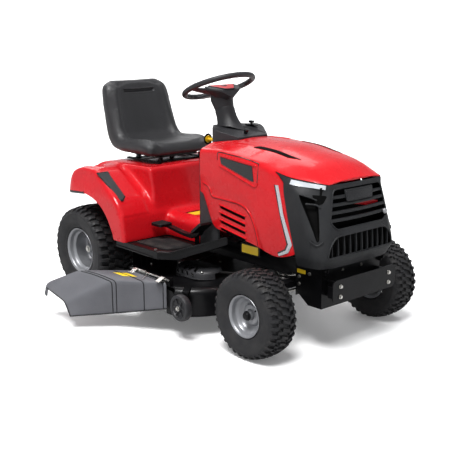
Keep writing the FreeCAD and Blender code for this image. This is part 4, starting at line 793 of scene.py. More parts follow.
def on_cheek(u, v, lift, side=-1):
    """The point on the nose's bevelled corner: u from 0 at its side edge to 1 at its front edge, v = z."""
    flat = row_at(NOSE, v)
    a, b = Vector((flat[2], flat[3])), Vector((flat[4], flat[5]))
    p = a.lerp(b, u)
    n = Vector((b - a)).normalized()
    n = Vector((-n.y, n.x))
    n = n if n.x > 0 else -n
    p += n * lift
    return (p.x, side * p.y, v)


xs = [85 + i * (811 - 85) / 104 for i in range(105)]
outer = [hood_ring(x, 0) for x in xs]
inner = [hood_ring(x, 4) for x in xs]
hood = piece("hood_skin", *loft([o + list(reversed(i)) for o, i in zip(outer, inner)]), RED, "hood",
    "red_paint", stand_for=("hood_shell",))
boolean(hood, prism(fillet(HOOD_SIDE, [0, 12, 30, 34, 60, 60, 14, 4, 3, 40, 0, 0, 0]), "xz", -300, 300),
    "INTERSECT")
notch = fillet([(60, -155), (103, -155), (196, -96), (196, 96), (103, 155), (60, 155)],
    [0, 12, 14, 14, 12, 0])
boolean(hood, prism(notch, "xy", 780, 900))
for side in (-1, 1):
    boolean(hood, prism(fillet([(350, side * 149), (560, side * 147), (612, side * 135), (380, side * 133)],
        [8, 8, 4, 8]), "xy", 780, 900))
LOUVRES = [562 - 34 * i for i in range(4)]
slits = [fillet([(232, z + 8), (402, z - 18), (402, z - 31), (232, z - 5)], 5) for z in LOUVRES]
boolean(hood, joined(*[prism(s, "xz", y0, y1) for s in slits for y0, y1 in ((-300, -200), (200, 300))]))
first(hood, rolled(hood, 0.9, 2, 55))

lips = []
for z in LOUVRES:
    path = [on_side(lerp(226, 408, k / 16), lerp(z + 12, z - 14, k / 16), -1.0) for k in range(17)]
    lips.append(sweep(path, oval(5.5, 3.6, 12)))
piece("louvre_lips", *pair(joined(*lips)), RED, "hood", "red_paint")
for side, word in SIDES:
    under = lambda u, v, lift, s=side: (on_side(u, v, 0, s)[0], on_side(u, v, 0, s)[1] - s * (9 - lift), v)
    # Painted shade: a near-black sheet behind the louvre slits stands for the shade inside the hood.
    draped(f"louvre_shade_back_{word}", [(215, 590), (420, 560), (420, 425), (215, 450)], under, 0, 1.5, SHADE_BLACK,
        "hood", "black_paint", 24)
    flank = lambda u, v, lift, s=side: on_side(u, v, lift, s)
    plate = fillet([(238, 792), (446, 774), (459, 708), (436, 712), (246, 762)], [6, 8, 5, 20, 5])
    draped(f"side_badge_{word}", plate, flank, 0.2, 1.8, GLOSS, "hood", "black_paint", 14, bevel=0.7)
    seam = smooth_path([on_side(u, v, -1.2, side) for u, v in ((218, 776), (219, 800), (228, 811),
        (300, 807), (380, 802), (470, 790), (481, 783), (480, 740), (478, 700))], 6)
    piece(f"badge_seam_{word}", *sweep(seam, oval(2.6, 2.6, 8)), GLOSS, "hood", "black_paint")
    brow = fillet([(238, 805), (462, 786), (470, 776), (240, 796)], [3, 6, 4, 3])
    draped(f"badge_brow_{word}", brow, flank, -0.5, 5.0, RED, "hood", "red_paint", 14, bevel=1.8)
    keel = smooth_path([on_side(u, v, 0.0, side) for u, v in ((238, 752), (300, 736), (380, 712),
        (436, 696), (462, 688), (476, 694), (480, 706))], 6)
    piece(f"badge_keel_{word}", *sweep(keel, oval(4.6, 4.6, 12)), RED, "hood", "red_paint")
    crease = smooth_path([on_side(u, v, 0.2, side) for u, v in ((104, 659), (140, 650), (160, 634),
        (172, 612), (196, 604), (300, 603), (362, 600), (410, 586), (440, 560), (462, 520), (478, 470),
        (486, 430))], 6)
    piece(f"flank_crease_{word}", *sweep(crease, oval(3.4, 3.4, 10)), RED, "hood", "red_paint")
    # Painted shade: a thin dark red line along the crease stands for the shade under the panel step.
    shade_path = smooth_path([on_side(u, v, -0.6, side) for u, v in ((104, 653), (138, 644), (153, 630),
        (165, 606), (192, 597), (300, 596), (360, 593), (405, 580), (434, 555), (456, 516), (471, 468),
        (479, 430))], 6)
    piece(f"flank_shade_line_{word}", *sweep(shade_path, oval(1.7, 1.7, 8)), WINE, "hood", "red_paint")
    # Painted shade: a near-black plate laid over each top slot stands for the dark opening.
    slot_shade = fillet([(352, side * 158), (562, side * 152), (624, side * 132), (376, side * 132)], 8)
    draped(f"top_slot_shade_{word}", slot_shade, on_top, 0.5, 1.4, SHADE_BLACK, "hood", "black_paint", 24, bevel=0)
    facets = [[(100, 162), (150, 140), (196, 104), (196, 128), (130, 205)],
        [(206, 96), (236, 100), (300, 138), (236, 150), (206, 128)]]
    for k, facet in enumerate(facets):
        draped(f"cowl_facet_{word}_{k}", fillet([(x, side * y) for x, y in facet], 4), on_top, -0.6, 3.2,
            RED, "hood", "red_paint", 16, bevel=1.2)
    shadow = fillet([(578, 714), (588, 712), (667, 466), (653, 440), (607, 416), (603, 424), (645, 446),
        (656, 470)], 2)
    draped(f"trim_shadow_{word}", shadow, flank, 0.1, 1.6, GLOSS, "hood", "black_paint", 16, bevel=0.4)

# ------------------------------------------------------------------ nose moulding
zs = [386 + i * (768 - 386) / 64 for i in range(65)]
outer = [nose_ring(min(z, 767), 0) for z in zs]
inner = [nose_ring(min(z, 767), 5) for z in zs]
nose = piece("nose_skin", *loft([o + list(reversed(i)) for o, i in zip(outer, inner)]), PLASTIC, "hood",
    "dark_plastic", stand_for=("grille_bezel",))
boolean(nose, prism(fillet(NOSE_SIDE, [10, 0, 0, 0, 3, 2, 6, 20]), "xz", -300, 300), "INTERSECT")
UPPER = fillet([(-182, 578), (-150, 548), (150, 548), (182, 578), (150, 712), (-150, 712)],
    [20, 16, 16, 20, 22, 22], 6)
LOWER = fillet([(-208, 434), (208, 434), (198, 478), (158, 522), (-158, 522), (-198, 478)],
    [14, 14, 26, 34, 34, 26], 6)
boolean(nose, joined(prism(UPPER, "yz", 700, 900), prism(LOWER, "yz", 700, 900)))


def cheek_solid(outline, low, high, side):
    """A solid under an outline in cheek coordinates, from one depth to another."""
    return loft([[on_cheek(u, v, low, side) for u, v in outline],
        [on_cheek(u, v, high, side) for u, v in outline]])


for side, word in SIDES:
    outline = [(0.10, 690), (0.30, 686), (0.60, 678), (0.92, 668), (0.95, 660), (0.93, 645), (0.84, 600),
        (0.74, 545), (0.66, 512), (0.50, 505), (0.40, 512), (0.33, 545), (0.22, 600), (0.13, 650),
        (0.08, 680)]
    boolean(nose, cheek_solid(outline, -40, 30, side))
    floor_v = [on_cheek(u, v, 0.5, side) for u, v in outline]
    rings = [floor_v]
    for t, deep in ((0.04, -3), (0.12, -12), (0.24, -20), (0.55, -24)):
        ring = []
        for u, v in outline:
            uu, vv = lerp(u, 0.52, t), lerp(v, 625, t)
            lower = smoothstep(655, 560, v)
            ring.append(on_cheek(uu, vv, deep * lerp(1.0, 0.45, lower), side))
        rings.append(ring)
    v, f = loft(rings, closed=True, capped=False)
    n = len(outline)
    v.append(tuple(sum((Vector(p) for p in rings[-1]), Vector()) / n))
    f += [((len(rings) - 1) * n + k, (len(rings) - 1) * n + (k + 1) % n, len(v) - 1) for k in range(n)]
    # Painted shade: the pocket's lining is near black and stands for the shade in the recess.
    pocket = piece(f"nose_pocket_{word}", v, f, SHADE_BLACK, "hood", "dark_plastic", angle=60)
    modifier(pocket, "SOLIDIFY", thickness=0.0015, offset=-1)
    lipline = [on_cheek(u, v, 1.0, side) for u, v in ((0.30, 688), (0.62, 679), (0.92, 669))]
    piece(f"pocket_brow_{word}", *sweep(smooth_path(lipline, 8), 3.2), PLASTIC, "hood", "dark_plastic")
    # Painted shade: a near-black plate on the nose front stands for the shade in the notch.
    notch = fillet([(side * 212, 690), (side * 174, 688), (side * 192, 654), (side * 212, 650)],
        [4, 8, 10, 4])
    draped(f"nose_notch_shade_{word}", notch, on_nose, 0.3, 1.4, SHADE_BLACK, "hood", "black_paint", 12, bevel=0.3)
    tongue = [on_cheek(u, v, 1.5, side) for u, v in ((0.30, 655), (0.80, 652), (1.02, 640))]
    piece(f"pocket_tongue_{word}", *sweep(smooth_path(tongue, 8), 4.0), PLASTIC, "hood", "dark_plastic")
    ledge = [on_cheek(u, v, 0.5, side) for u, v in ((-0.10, 508), (0.10, 500), (0.30, 492), (0.55, 492),
        (0.80, 500), (0.95, 506))]
    piece(f"pocket_ledge_{word}", *sweep(smooth_path(ledge, 8), oval(4.5, 4.5, 12)), PLASTIC, "hood",
        "dark_plastic")

for label, outline in (("upper", UPPER), ("lower", LOWER)):
    path = [on_nose(u, v, -0.5) for u, v in outline]
    piece(f"grille_lip_{label}", *sweep(path, oval(4.0, 4.0, 10), closed=True), PLASTIC, "hood",
        "dark_plastic")


def outline_width(outline, v):
    """Half width of a symmetric outline at height v."""
    best = 0
    for (u0, v0), (u1, v1) in zip(outline, outline[1:] + outline[:1]):
        if min(v0, v1) <= v <= max(v0, v1) and u0 > 0 and abs(v1 - v0) > 1e-6:
            best = max(best, u0 + (u1 - u0) * (v - v0) / (v1 - v0))
    return best


bars = []
for z in (580, 611, 642, 673):
    w = outline_width(UPPER, z + 5) + 2
    rings = []
    for k in range(33):
        y = lerp(-w, w, k / 32)
        x = on_nose(y, z + 5, 0)[0]
        rings.append([(x + dx, y, z + dz) for dx, dz in ((-3, -1.5), (-1.4, 0.5), (-1.0, 3), (-2, 9),
            (-4.5, 11.5), (-15, 12), (-16, 0.5))])
    bars.append(loft(rings))
piece("grille_bars", *joined(*bars), PLASTIC, "hood", "dark_plastic", bevel=0.8)
posts = []
for i in range(11):
    y = -180 + 36 * i
    rings = []
    for k in range(13):
        z = lerp(433, 523, k / 12)
        if outline_width(LOWER, min(521, max(435, z))) + 3 < abs(y):
            continue
        x = on_nose(y, z, 0)[0]
        rings.append([(x + dx, y + dy, z) for dx, dy in ((-2.5, 0), (-5, 2.6), (-15, 2.2), (-15, -2.2),
            (-5, -2.6))])
    posts.append(loft(rings))
piece("grille_posts", *joined(*posts), PLASTIC, "hood", "dark_plastic", bevel=0.6)
draped("front_badge", fillet([(-82, 656), (82, 656), (90, 706), (-90, 706)], 8), on_nose, -2.0, 5.5,
    PLASTIC, "hood", "dark_plastic", 20, bevel=1.2)
draped("front_badge_face", fillet([(-75, 662), (75, 662), (82, 700), (-82, 700)], 6), on_nose, 3.2, 1.0,
    GLOSS, "hood", "black_paint", 20, bevel=0.4)
# Painted shade: a near-black sheet behind the grille openings stands for the shade inside the nose.
shade_screen = [[(800 - 0.06 * abs(y), y, z) for z in (400, 530, 540, 720)] for y in range(-196, 197, 14)]
shade_screen = [[(x + (30 if z < 535 else 0), y, z) for x, y, z in row] for row in shade_screen]
v, f = loft(shade_screen, closed=False, capped=False)
o = piece("grille_shade_screen", v, f, SHADE_BLACK, "hood", "black_paint")
modifier(o, "SOLIDIFY", thickness=0.002)
piece("grille_inner_rail", *prism(fillet([(-40, 640), (150, 600), (150, 628), (-40, 668)], 6), "yz", 806,
    812), RED_MOULD, "hood", "red_paint", bevel=1)
catch = lathe([(0.01, -10), (8, -10), (8, 2), (11, 3), (12.5, 6), (11, 9), (7, 11), (0.01, 11.5)],
    on_nose(160, 584, 0), (1, 0, 0), 32, closed=False)
piece("grille_catch", *catch, PALE, "hood", "silver_trim")


# ------------------------------------------------------------------ seat
SEAT = [  # front surface (x, z), back surface (x, z), half width
    ((-328, 742), (-330, 728), 176), ((-336, 764), (-334, 718), 204), ((-362, 779), (-362, 715), 220),
        ((-430, 782), (-430, 716), 225),
    ((-520, 774), (-520, 716), 225), ((-580, 776), (-602, 716), 225), ((-616, 800), (-672, 726), 223),
    ((-642, 850), (-714, 776), 223),
    ((-670, 930), (-744, 876), 219), ((-694, 1008), (-768, 984), 211), ((-710, 1050), (-782, 1044), 195),
    ((-730, 1076), (-768, 1076), 152),
]


def seat_form(shrink):
    """The seat bucket as rings from the front of the cushion to the top of the back, with bolsters."""
    keys = list(range(len(SEAT)))
    rows = [[a[0], a[1], b[0], b[1], w] for a, b, w in SEAT]
    rings = []
    for k in range(61):
        fx, fz, bx, bz, w = spline_rows(keys, rows, k * (len(SEAT) - 1) / 60)
        mid = Vector(((fx + bx) / 2, (fz + bz) / 2))
        out = Vector((fx - mid.x, fz - mid.y))
        deep = max(4.0, out.length - shrink)
        out.normalize()
        w -= shrink
        ring = []
        for i in range(56):
            a = math.tau * i / 56
            c, s = math.cos(a), math.sin(a)
            y = w * math.copysign(abs(c) ** 0.5, c)
            n = deep * math.copysign(abs(s) ** 0.6, s)
            if s > 0:
                t = abs(y) / w
                n += (21 * smoothstep(0.60, 0.78, t) - 7 * (1
                    - smoothstep(0.15, 0.66, t))) * abs(s) ** 0.6 * smoothstep(0, 6, k) * smoothstep(60, 52,
                    k)
            ring.append((mid.x + out.x * n, y, mid.y + out.y * n))
        rings.append(ring)
    return loft(rings)


def stuffed(name, verts_faces, mat, body, slot, voxel, cap, stand_for):
    """A padded piece: remeshed, blown up by a cloth simulation, and held within cap mm of its form."""
    o = piece(name, *verts_faces, mat, body, slot, stand_for=stand_for)
    o.modifiers.clear()
    applied(o, "REMESH", mode="VOXEL", voxel_size=voxel * MM, use_smooth_shade=True)
    applied(o, "SMOOTH", factor=0.5, iterations=6)
    start = [v.co.copy() for v in o.data.vertices]
    cloth = modifier(o, "CLOTH")
    s = cloth.settings
    s.use_pressure, s.uniform_pressure_force, s.quality = True, 4.0, 5
    s.effector_weights.gravity = 0
    s.mass = 0.4
    s.tension_stiffness = s.compression_stiffness = 30
    s.bending_stiffness = 2.0
    scene.frame_start, scene.frame_end = 1, CLOTH_FRAMES
    for f in range(1, CLOTH_FRAMES + 1):
        scene.frame_set(f)
    dg = bpy.context.evaluated_depsgraph_get()
    result = [v.co.copy() for v in o.evaluated_get(dg).data.vertices]
    o.modifiers.remove(cloth)
    scene.frame_set(1)
    for v, a, b in zip(o.data.vertices, start, result):
        d = b - a
        if d.length > cap * MM:
            d *= cap * MM / d.length
        v.co = a + d
    applied(o, "SMOOTH", factor=0.5, iterations=5)
    applied(o, "SUBSURF", levels=1, render_levels=1)
    for p in o.data.polygons:
        p.use_smooth = True
    return o


seat = stuffed("seat_bucket", seat_form(3.0), VINYL, "seat", "seat_vinyl", 6.0, 5.0, ("seat_cushion",))
for v in seat.data.vertices:
    x, y, z = v.co / MM
    front = x > -742 + (z - 1020) * -0.32
    if z > 900 and front:
        along = smoothstep(104, 90, abs(y))
        across = abs(z - 1016 - 0.00025 * y * y)
        v.co.x -= 10.0 * MM * along * smoothstep(12, 3, across)
        v.co.x += 2.4 * MM * along * smoothstep(16, 10, across) * smoothstep(4, 9, across)
    if z < 733 and -640 < x < -345 and abs(y) < 170:
        v.co.z = max(v.co.z, 0.7165)
pan = prism(fillet([(-610, -132), (-366, -132), (-366, 132), (-610, 132)], 24), "xy", 704, 716.4)
tab = prism(fillet([(-366, 712), (-366, 690), (-334, 690), (-334, 712)], [0, 14, 14, 0]), "xz", 128.5,
    132.5)
piece("seat_pan", *joined(pan, tab, flip(tab)), BLACK, "seat", "black_paint", bevel=1.5)
pan_bolts = [hex_bolt((x, y, 708), (0, 0, -1), 6, 4) for x in (-600, -400) for y in (-125, 125)]
piece("seat_pan_bolts", *joined(*pan_bolts), ZINC, "seat", "zinc")
springs = joined(*[coil((-565, y, 686), (-565, y, 705), 14, 2.2, 3) for y in (-110, 110)])
piece("seat_springs", *springs, STEEL, "chassis", "steel")

# ------------------------------------------------------------------ steering wheel, column and console
COLUMN = Matrix.Translation((-54, 0, 1075)) @ Matrix.Rotation(math.radians(-21.5), 4, "Y")


def on_column(verts_faces):
    return [tuple(COLUMN @ Vector(v)) for v in verts_faces[0]], verts_faces[1]


grip = []
for k in range(20):
    a = math.tau * k / 20
    grip.append((168.5 + 13.2 * math.cos(a), 13.2 * math.sin(a) * (1.0 if math.sin(a) > 0 else 0.94)))
rim = lathe(grip, (0, 0, 0), UP, 160)
rv = []
for x, y, z in rim[0]:
    a = math.atan2(y, x)
    r = math.hypot(x, y)
    if r < 168.5 and z < 2:
        k = 1 + 0.010 * math.cos(a * 28) * smoothstep(168, 156, r)
        x, y = x * k, y * k
    rv.append((x, y, z))
piece("wheel_grip", *on_column((rv, rim[1])), DARKER, "steering", "dark_plastic",
    stand_for=("steering_wheel",))
arms = []
for a in (90, 270, 180):
    d = Vector((math.cos(math.radians(a)), math.sin(math.radians(a)), 0))
    n = Vector((-d.y, d.x, 0))
    rings = []
    for r, w, z0, z1 in ((20, 30, -34, -12), (60, 27, -31, -11), (105, 23, -22, -9), (135, 20, -16, -6),
        (160, 17, -9, 0), (168, 15, -6, 4)):
        ring = fillet([(-w, z0), (w, z0), (w * 0.86, z1), (-w * 0.86, z1)], 5, 3)
        rings.append([tuple(d * r + n * s + Vector((0, 0, z))) for s, z in ring])
    arms.append(loft(rings))
piece("wheel_spokes", *on_column(joined(*arms)), DARKER, "steering", "dark_plastic", bevel=0.8)


def hub_ring(x, wide, top, mid, low, foot):
    """One section of the hub's front face: top and mid edge heights, and the narrow foot below."""
    return [(x, y, z) for y, z in fillet([(-wide, top), (wide, top), (wide, mid), (foot, low), (-foot, low),
        (-wide, mid)], [6, 6, 6, 8, 8, 6], 4)]


front = loft([hub_ring(x, *r) for x, *r in ((16, 104, -2, -20, -88, 18), (34, 98, -12, -26, -87, 17),
    (52, 84, -24, -36, -84, 15), (66, 66, -35, -44, -79, 13), (72, 56, -42, -49, -74, 12))])
piece("wheel_hub_front", *on_column(front), DARKER, "steering", "dark_plastic", bevel=3.5, segments=3)
hub = lathe([(9.6, -112), (43, -113), (46, -110), (50, -88), (55, -60), (52, -44), (47, -30), (44, -12),
    (38, -7), (22, -4), (9.6, -3)], (0, 0, 0), UP, 72)
piece("wheel_hub", *on_column(hub), DARKER, "steering", "dark_plastic")
pad = fillet([(-80, 4), (80, 4), (26, 66), (-26, 66)], 10, 5)
on_pad = lambda y, s, lift: (14 + s * 0.86 + lift * 0.5, y, -1 - s * 0.56 + lift)
cap = loft([[on_pad(y * k, 4 + (s - 4) * k + (1 - k) * 20, lift) for y, s in pad] for k,
    lift in ((1.0, -4), (1.0, 2.0), (0.97, 3.4), (0.86, 4.6))])
piece("wheel_insert", *on_column(cap), REDCAP, "steering", "red_plastic", stand_for=("steering_cap",))
bezel = sweep([on_pad(y * 1.06, s * 1.04 - 1, 1.5) for y, s in pad], oval(3.0, 3.0, 8), closed=True)
piece("wheel_insert_frame", *on_column(bezel), DARKER, "steering", "dark_plastic")
piece("wheel_nut", *on_column(lathe([(0.01, 4), (14, 3), (19, 0), (22, -6), (0.01, -6)], (0, 0, 0), UP, 40,
    closed=False)), GLOSS, "steering", "black_paint")

cone = []
for t, r in ((104, 42.0), (112, 46), (122, 47.5), (140, 47), (160, 48.5), (185, 54), (208, 62), (226, 72),
    (240, 84), (250, 96)):
    cone.append((r, -t))
cone += [(r - 3, t) for r, t in reversed(cone)]
shroud = piece("column_shroud", *on_column(lathe(cone, (0, 0, 0), UP, 96)), DARKER, "chassis",
    "dark_plastic", stand_for=("column_cover",))
boolean(shroud, prism([(-300, 700), (-300, 890), (-60, 892.5), (70, 895.5), (190, 858), (300, 700)], "xz",
    -200, 200))
console_plan = fillet([(-46, -45), (70, -150), (100, -150), (190, -92), (190, 92), (100, 150), (70, 150),
    (-46, 45)], [14, 16, 14, 12, 12, 14, 16, 14], 4)
levels = []
for k in range(9):
    levels.append([(x, y, lerp(812.5, min(893.5 + 0.026 * (x + 60),
        896 - 37 * (x - 70) / 120 if x > 70 else 999), k / 8)) for x, y in console_plan])
console = piece("console_cowl", *loft(levels), DARKER, "chassis", "dark_plastic", bevel=5, segments=4,
    stand_for=("dash_console",), angle=45)
dress("dash_tower", PLASTIC, 2.0)
side_panel = fillet([(66, 356), (66, 770), (84, 790), (112, 770), (112, 600), (150, 520), (192, 430),
    (192, 356)], 12)
piece("tower_cheeks", *pair(prism(side_panel, "xz", -223.5, -221)), CHARCOAL, "chassis", "dark_plastic",
    bevel=1.0)
slot_hole = fillet([(50, 84), (109, 84), (109, 100), (50, 100)], 3)
boolean(console, prism(slot_hole, "xy", 840, 920))
slot_rim = piece("throttle_slot", *prism(fillet([(44, 79), (115, 79), (115, 105), (44, 105)], 8), "xy", 890,
    896.6), GLOSS, "chassis", "black_paint", bevel=0.6)
boolean(slot_rim, prism(slot_hole, "xy", 840, 920))
for name, mat, bevel in (("throttle_lever", GLOSS, 1.5), ("pto_knob", YELLOW, 1.5),
    ("ignition_key", ZINC, 0.5), ("steering_shaft", STEEL, 0.5)):
    dress(name, mat, bevel)
collar = lathe([(18, 0), (25, 0), (26, 2), (24, 4.5), (18, 5)], (2, -126, 838), (-1, 0, 0), 40)
piece("pto_collar", *[([(x + 10, y, z) for x, y, z in collar[0]]), collar[1]], GLOSS, "pto", "black_paint")
knob = lathe([(0.01, -4), (9, -4), (9.5, 6), (12, 9), (12, 16), (10, 18.5), (0.01, 19)], (158, -20, 872),
    (0.3, 0, 1), 32, closed=False)
piece("choke_knob", *knob, GLOSS, "chassis", "black_paint")

# ------------------------------------------------------------------ rear body
FENDER_TOP = [(-716, 540), (-704, 600), (-664, 644), (-595, 668), (-505, 672), (-440, 650), (-268, 540)]
FENDER_FRONT = [(-222, 462), (-205, 349)]
ARCH = [(-292, 349), (-300, 378), (-345, 455), (-410, 512), (-500, 542), (-600, 548), (-716, 532)]


side_view = [(-716, 336)] + FENDER_TOP + FENDER_FRONT + [(-205, 336)]
guard = prism(fillet(side_view, [0, 30, 40, 60, 70, 70, 60, 60, 10, 0, 0], 5), "xz", -472, 472)
body = piece("rear_body", *guard, RED_MOULD, "chassis", "red_plastic", stand_for=("rear_fender",))
plan = fillet([(-716, -472), (0, -472), (0, 472), (-716, 472)], [70, 0, 0, 70], 8)
boolean(body, prism(plan, "xy", 300, 720), "INTERSECT")
deck_line = fillet([(-762, 336), (-762, 618), (-735, 645), (-680, 666), (-600, 677), (-268, 680),
    (-232, 470), (-228, 336)], [0, 14, 30, 60, 60, 16, 20, 0], 4)
boolean(body, prism(deck_line, "xz", -262, 262), "UNION")
tunnel = fillet([(-206, 336), (-204, 440), (-170, 463), (170, 463), (204, 440), (206, 336)],
    [0, 18, 18, 18, 18, 0], 4)
boolean(body, prism(tunnel, "yz", -262, 58), "UNION")
body.modifiers.clear()
applied(body, "REMESH", mode="VOXEL", voxel_size=0.007)
applied(body, "SMOOTH", factor=0.5, iterations=24)
for v in body.data.vertices:
    x, y, z = v.co / MM
    if z > 560:
        d = math.hypot((x + 600) / 84, (abs(y) - 388) / 44)
        v.co.z -= 20 * MM * smoothstep(1.10, 0.82, d) - 2.5 * MM * smoothstep(1.30, 1.14,
            d) * smoothstep(0.95, 1.10, d)
    side = abs(y)
    if side > 300 and z > 500:
        v.co.y *= 1 - 0.045 * smoothstep(520, 672, z) * smoothstep(300, 460, side)
    if side > 200 and x < -208:
        rise = smoothstep(300, 318, side) * smoothstep(470, 452, side)
        if -500 < x < -225 and z > 470:
            v.co.z += 2.2 * MM * rise
            v.co.x += 2.2 * MM * rise
    if side < 190 and z > 455 and -210 < x < 40:
        v.co.z -= 4 * MM * smoothstep(150, 138, side) * smoothstep(-205, -190, x) * smoothstep(36, 20, x)
inner = body.copy()
inner.data = body.data.copy()
scene.collection.objects.link(inner)
applied(inner, "DISPLACE", strength=-0.0055, mid_level=0.0)
applied(inner, "REMESH", mode="VOXEL", voxel_size=0.0095)
applied(inner, "SMOOTH", factor=0.5, iterations=2)
inside = ([tuple(v.co / MM) for v in inner.data.vertices], [tuple(p.vertices) for p in inner.data.polygons])
bpy.data.objects.remove(inner)
boolean(body, inside)
below = fillet([(-900, 300), (-900, 524)] + list(reversed(ARCH)) + [(-292, 300)],
    [0, 0, 0, 30, 50, 50, 40, 20, 0, 0], 4)
boolean(body, prism(below, "xz", 262.6, 500))
boolean(body, prism(below, "xz", -500, -262.6))
boolean(body, prism([(-900, 300), (-900, 430), (-700, 430), (-560, 470), (-330, 400), (-310, 300)], "xz",
    -262.2, 262.2))
boolean(body, block(-900, 100, -600, 600, 300, 349.05))
boolean(body, block(-575, -318, 341, 363, 560, 720))
boolean(body, lathe([(0.01, 500), (34, 500), (34, 720), (0.01, 720)], (-620, 385, 0), UP, 48, closed=False))
for p in body.data.polygons:
    p.use_smooth = True
arch = fillet(ARCH, [0, 20, 40, 50, 50, 40, 0], 5, closed=False)
for side, word in SIDES:
    path = [(x, side * 468.5, z + 2) for x, z in arch if x > -640]
    piece(f"arch_lip_{word}", *sweep(path, oval(3.6, 3.6, 10)), RED_MOULD, "chassis", "red_plastic")
    rear = fillet([(-540, side * 470, 545), (-714, side * 470, 531), (-714, side * 268, 531)], [0, 74, 0],
        12, closed=False)
    piece(f"rear_lip_{word}", *sweep(rear, oval(4.0, 6.5, 10)), GLOSS, "chassis", "dark_plastic")
dress("fender_inserts", CHARCOAL, 1.2)
edge = fillet([(-446, 387), (-289, 396), (-265, 426), (-265, 440), (-446, 457)], 4)
under = lambda u, v, lift, s=1: (u, s * v, 650.3 - (u + 440) * 108 / 169 + 0.6 + lift)
for side, word in SIDES:
    draped(f"insert_edge_{word}", edge, lambda u, v, lift, s=side: under(u, v, lift, s), 0.0, 1.6, GLOSS,
        "chassis", "black_paint", 40, bevel=0.5)
tank_cap = []
for k in range(96):
    a = math.tau * k / 96
    r = 40 + (0.9 if k % 4 < 2 else -0.9)
    tank_cap.append((a, r))
rings = [[(-620 + (r * s) * math.cos(a), 385 + (r * s) * math.sin(a), z) for a, r in tank_cap] for s,
    z in ((0.90, 674), (0.98, 676), (1.0, 680), (1.0, 690), (0.95, 693), (0.75, 694.5), (0.70, 692),
    (0.3, 692.5))]
piece("filler_cap", *loft(rings), GLOSS, "chassis", "black_paint")
dress("fuel_tank", PALE, 4)

# ------------------------------------------------------------------ running boards and pedals
dress("footboards", BLACK, 1.0)
mat_plan = fillet([(-196, 236), (43, 230), (50, 300), (18, 396), (-196, 407)], [8, 14, 30, 30, 8], 5)
slab = loft([[(x, y, z) for x, y in mat_plan] for z in (345.2, 348.4)])
inner = fillet([(-186, 245), (36, 240), (41, 298), (12, 387), (-186, 397)], [6, 12, 26, 26, 6], 5)
frame_rib = sweep([(x, y, 349.0) for x, y in inner], oval(1.8, 1.5, 8), closed=True)
ribs = []
for i in range(17):
    y = 250 + 8.2 * i
    far = 32 - max(0, (y - 300)) * 0.30
    ribs.append(prism(fillet([(y - 2.2, 348), (y + 2.2, 348), (y + 1.2, 350.2), (y - 1.2, 350.2)], 0.6, 2),
        "yz", -181, far))
mats = joined(slab, frame_rib, *ribs)
piece("board_mats", *pair(mats), MAT, "chassis", "mat_rubber", stand_for=("footboard_mats",))
rail = smooth_path([(-298, -447, 318), (-200, -447.5, 317), (-60, -447.5, 316), (-8, -444, 316),
    (24, -428, 318), (90, -368, 326), (160, -309, 348), (230, -251, 376)], 8)
tube = sweep(rail, oval(6.5, 6.5, 14))
piece("board_tube", *pair(tube), BLACK, "chassis", "black_paint")
lip = smooth_path([(-298, -448, 344), (-150, -448.5, 344), (0, -448, 344), (14, -444, 344), (26, -434, 345),
    (66, -404, 345.5), (120, -358, 366), (190, -301, 394), (268, -243, 425)], 8)
piece("board_lip", *pair(sweep(lip, oval(2.6, 3.4, 10))), BLACK, "chassis", "black_paint")
dress("drive_pedal", BLACK, 1.6)
dress("brake_pedal", BLACK, 1.6)


def pad_ribs(origin, tilt, x0, x1, y0, y1, count):
    """A rubber pad with cross ribs, on a plate that is tilted about y."""
    m = Matrix.Translation(origin) @ Matrix.Rotation(math.radians(tilt), 4, "Y")
    base = prism(fillet([(x0, y0), (x1, y0), (x1, y1), (x0, y1)], 9, 4), "xy", 10.0, 13.0)
    strips = []
    for i in range(count):
        x = lerp(x0 + 7, x1 - 7, i / (count - 1))
        strips.append(prism(fillet([(x - 2.4, y0 + 5), (x + 2.4, y0 + 5), (x + 2.4, y1 - 5),
            (x - 2.4, y1 - 5)], 1.5, 2), "xy", 12.5, 15.5))
    v, f = joined(base, *strips)
    return [tuple(m @ Vector(p)) for p in v], f


piece("treadle_pad_front", *pad_ribs((132, 0, 446), -38, -37, 41, -311, -233, 7), MAT, "treadle",
    "mat_rubber", bevel=0.6)
piece("treadle_pad_rear", *pad_ribs((-166.5, 0, 413), 0, -37, 37, -311, -237, 7), MAT, "treadle",
    "mat_rubber", bevel=0.6)
piece("brake_pad", *pad_ribs((176, 0, 492), -52, -35, 35, 265, 335, 7), MAT, "brake", "mat_rubber",
    bevel=0.6)
cover = fillet([(-128, 403), (-20, 388), (40, 384), (90, 402), (112, 430), (108, 446), (96, 440), (78, 414),
    (38, 403), (-20, 401), (-128, 416)], [4, 20, 20, 10, 4, 4, 4, 20, 20, 20, 4], 3)
piece("treadle_web", *prism(cover, "xz", -266, -236), BLACK, "treadle", "black_paint", bevel=3, segments=3)
lever_knob = lathe([(0.01, -26), (9, -26), (12, -22), (14, -12), (18, -2), (19, 8), (16, 17), (9, 22),
    (0.01, 23)], (-550, 352, 733), (-225, 7, 467), 40, closed=False)
dress("lift_lever", BLACK, 0.8)
piece("lift_grip", *lever_knob, GLOSS, "lift", "black_paint")

# ------------------------------------------------------------------ mower deck
R_DECK = 282.0
CENTRES = (Vector((60, -262)), Vector((-80, 262)))


def deck_ring(grow, z, n=96):
    """The outline round both spindles, grown or shrunk."""
    a, b = CENTRES
    r = R_DECK + grow
    base = math.atan2((b - a).y, (b - a).x)
    pts = []
    for c, start in ((a, base + math.pi / 2), (b, base - math.pi / 2)):
        for i in range(n // 2):
            t = start + math.pi * i / (n // 2 - 1)
            pts.append((c.x + r * math.cos(t), c.y + r * math.sin(t), z))
    return pts


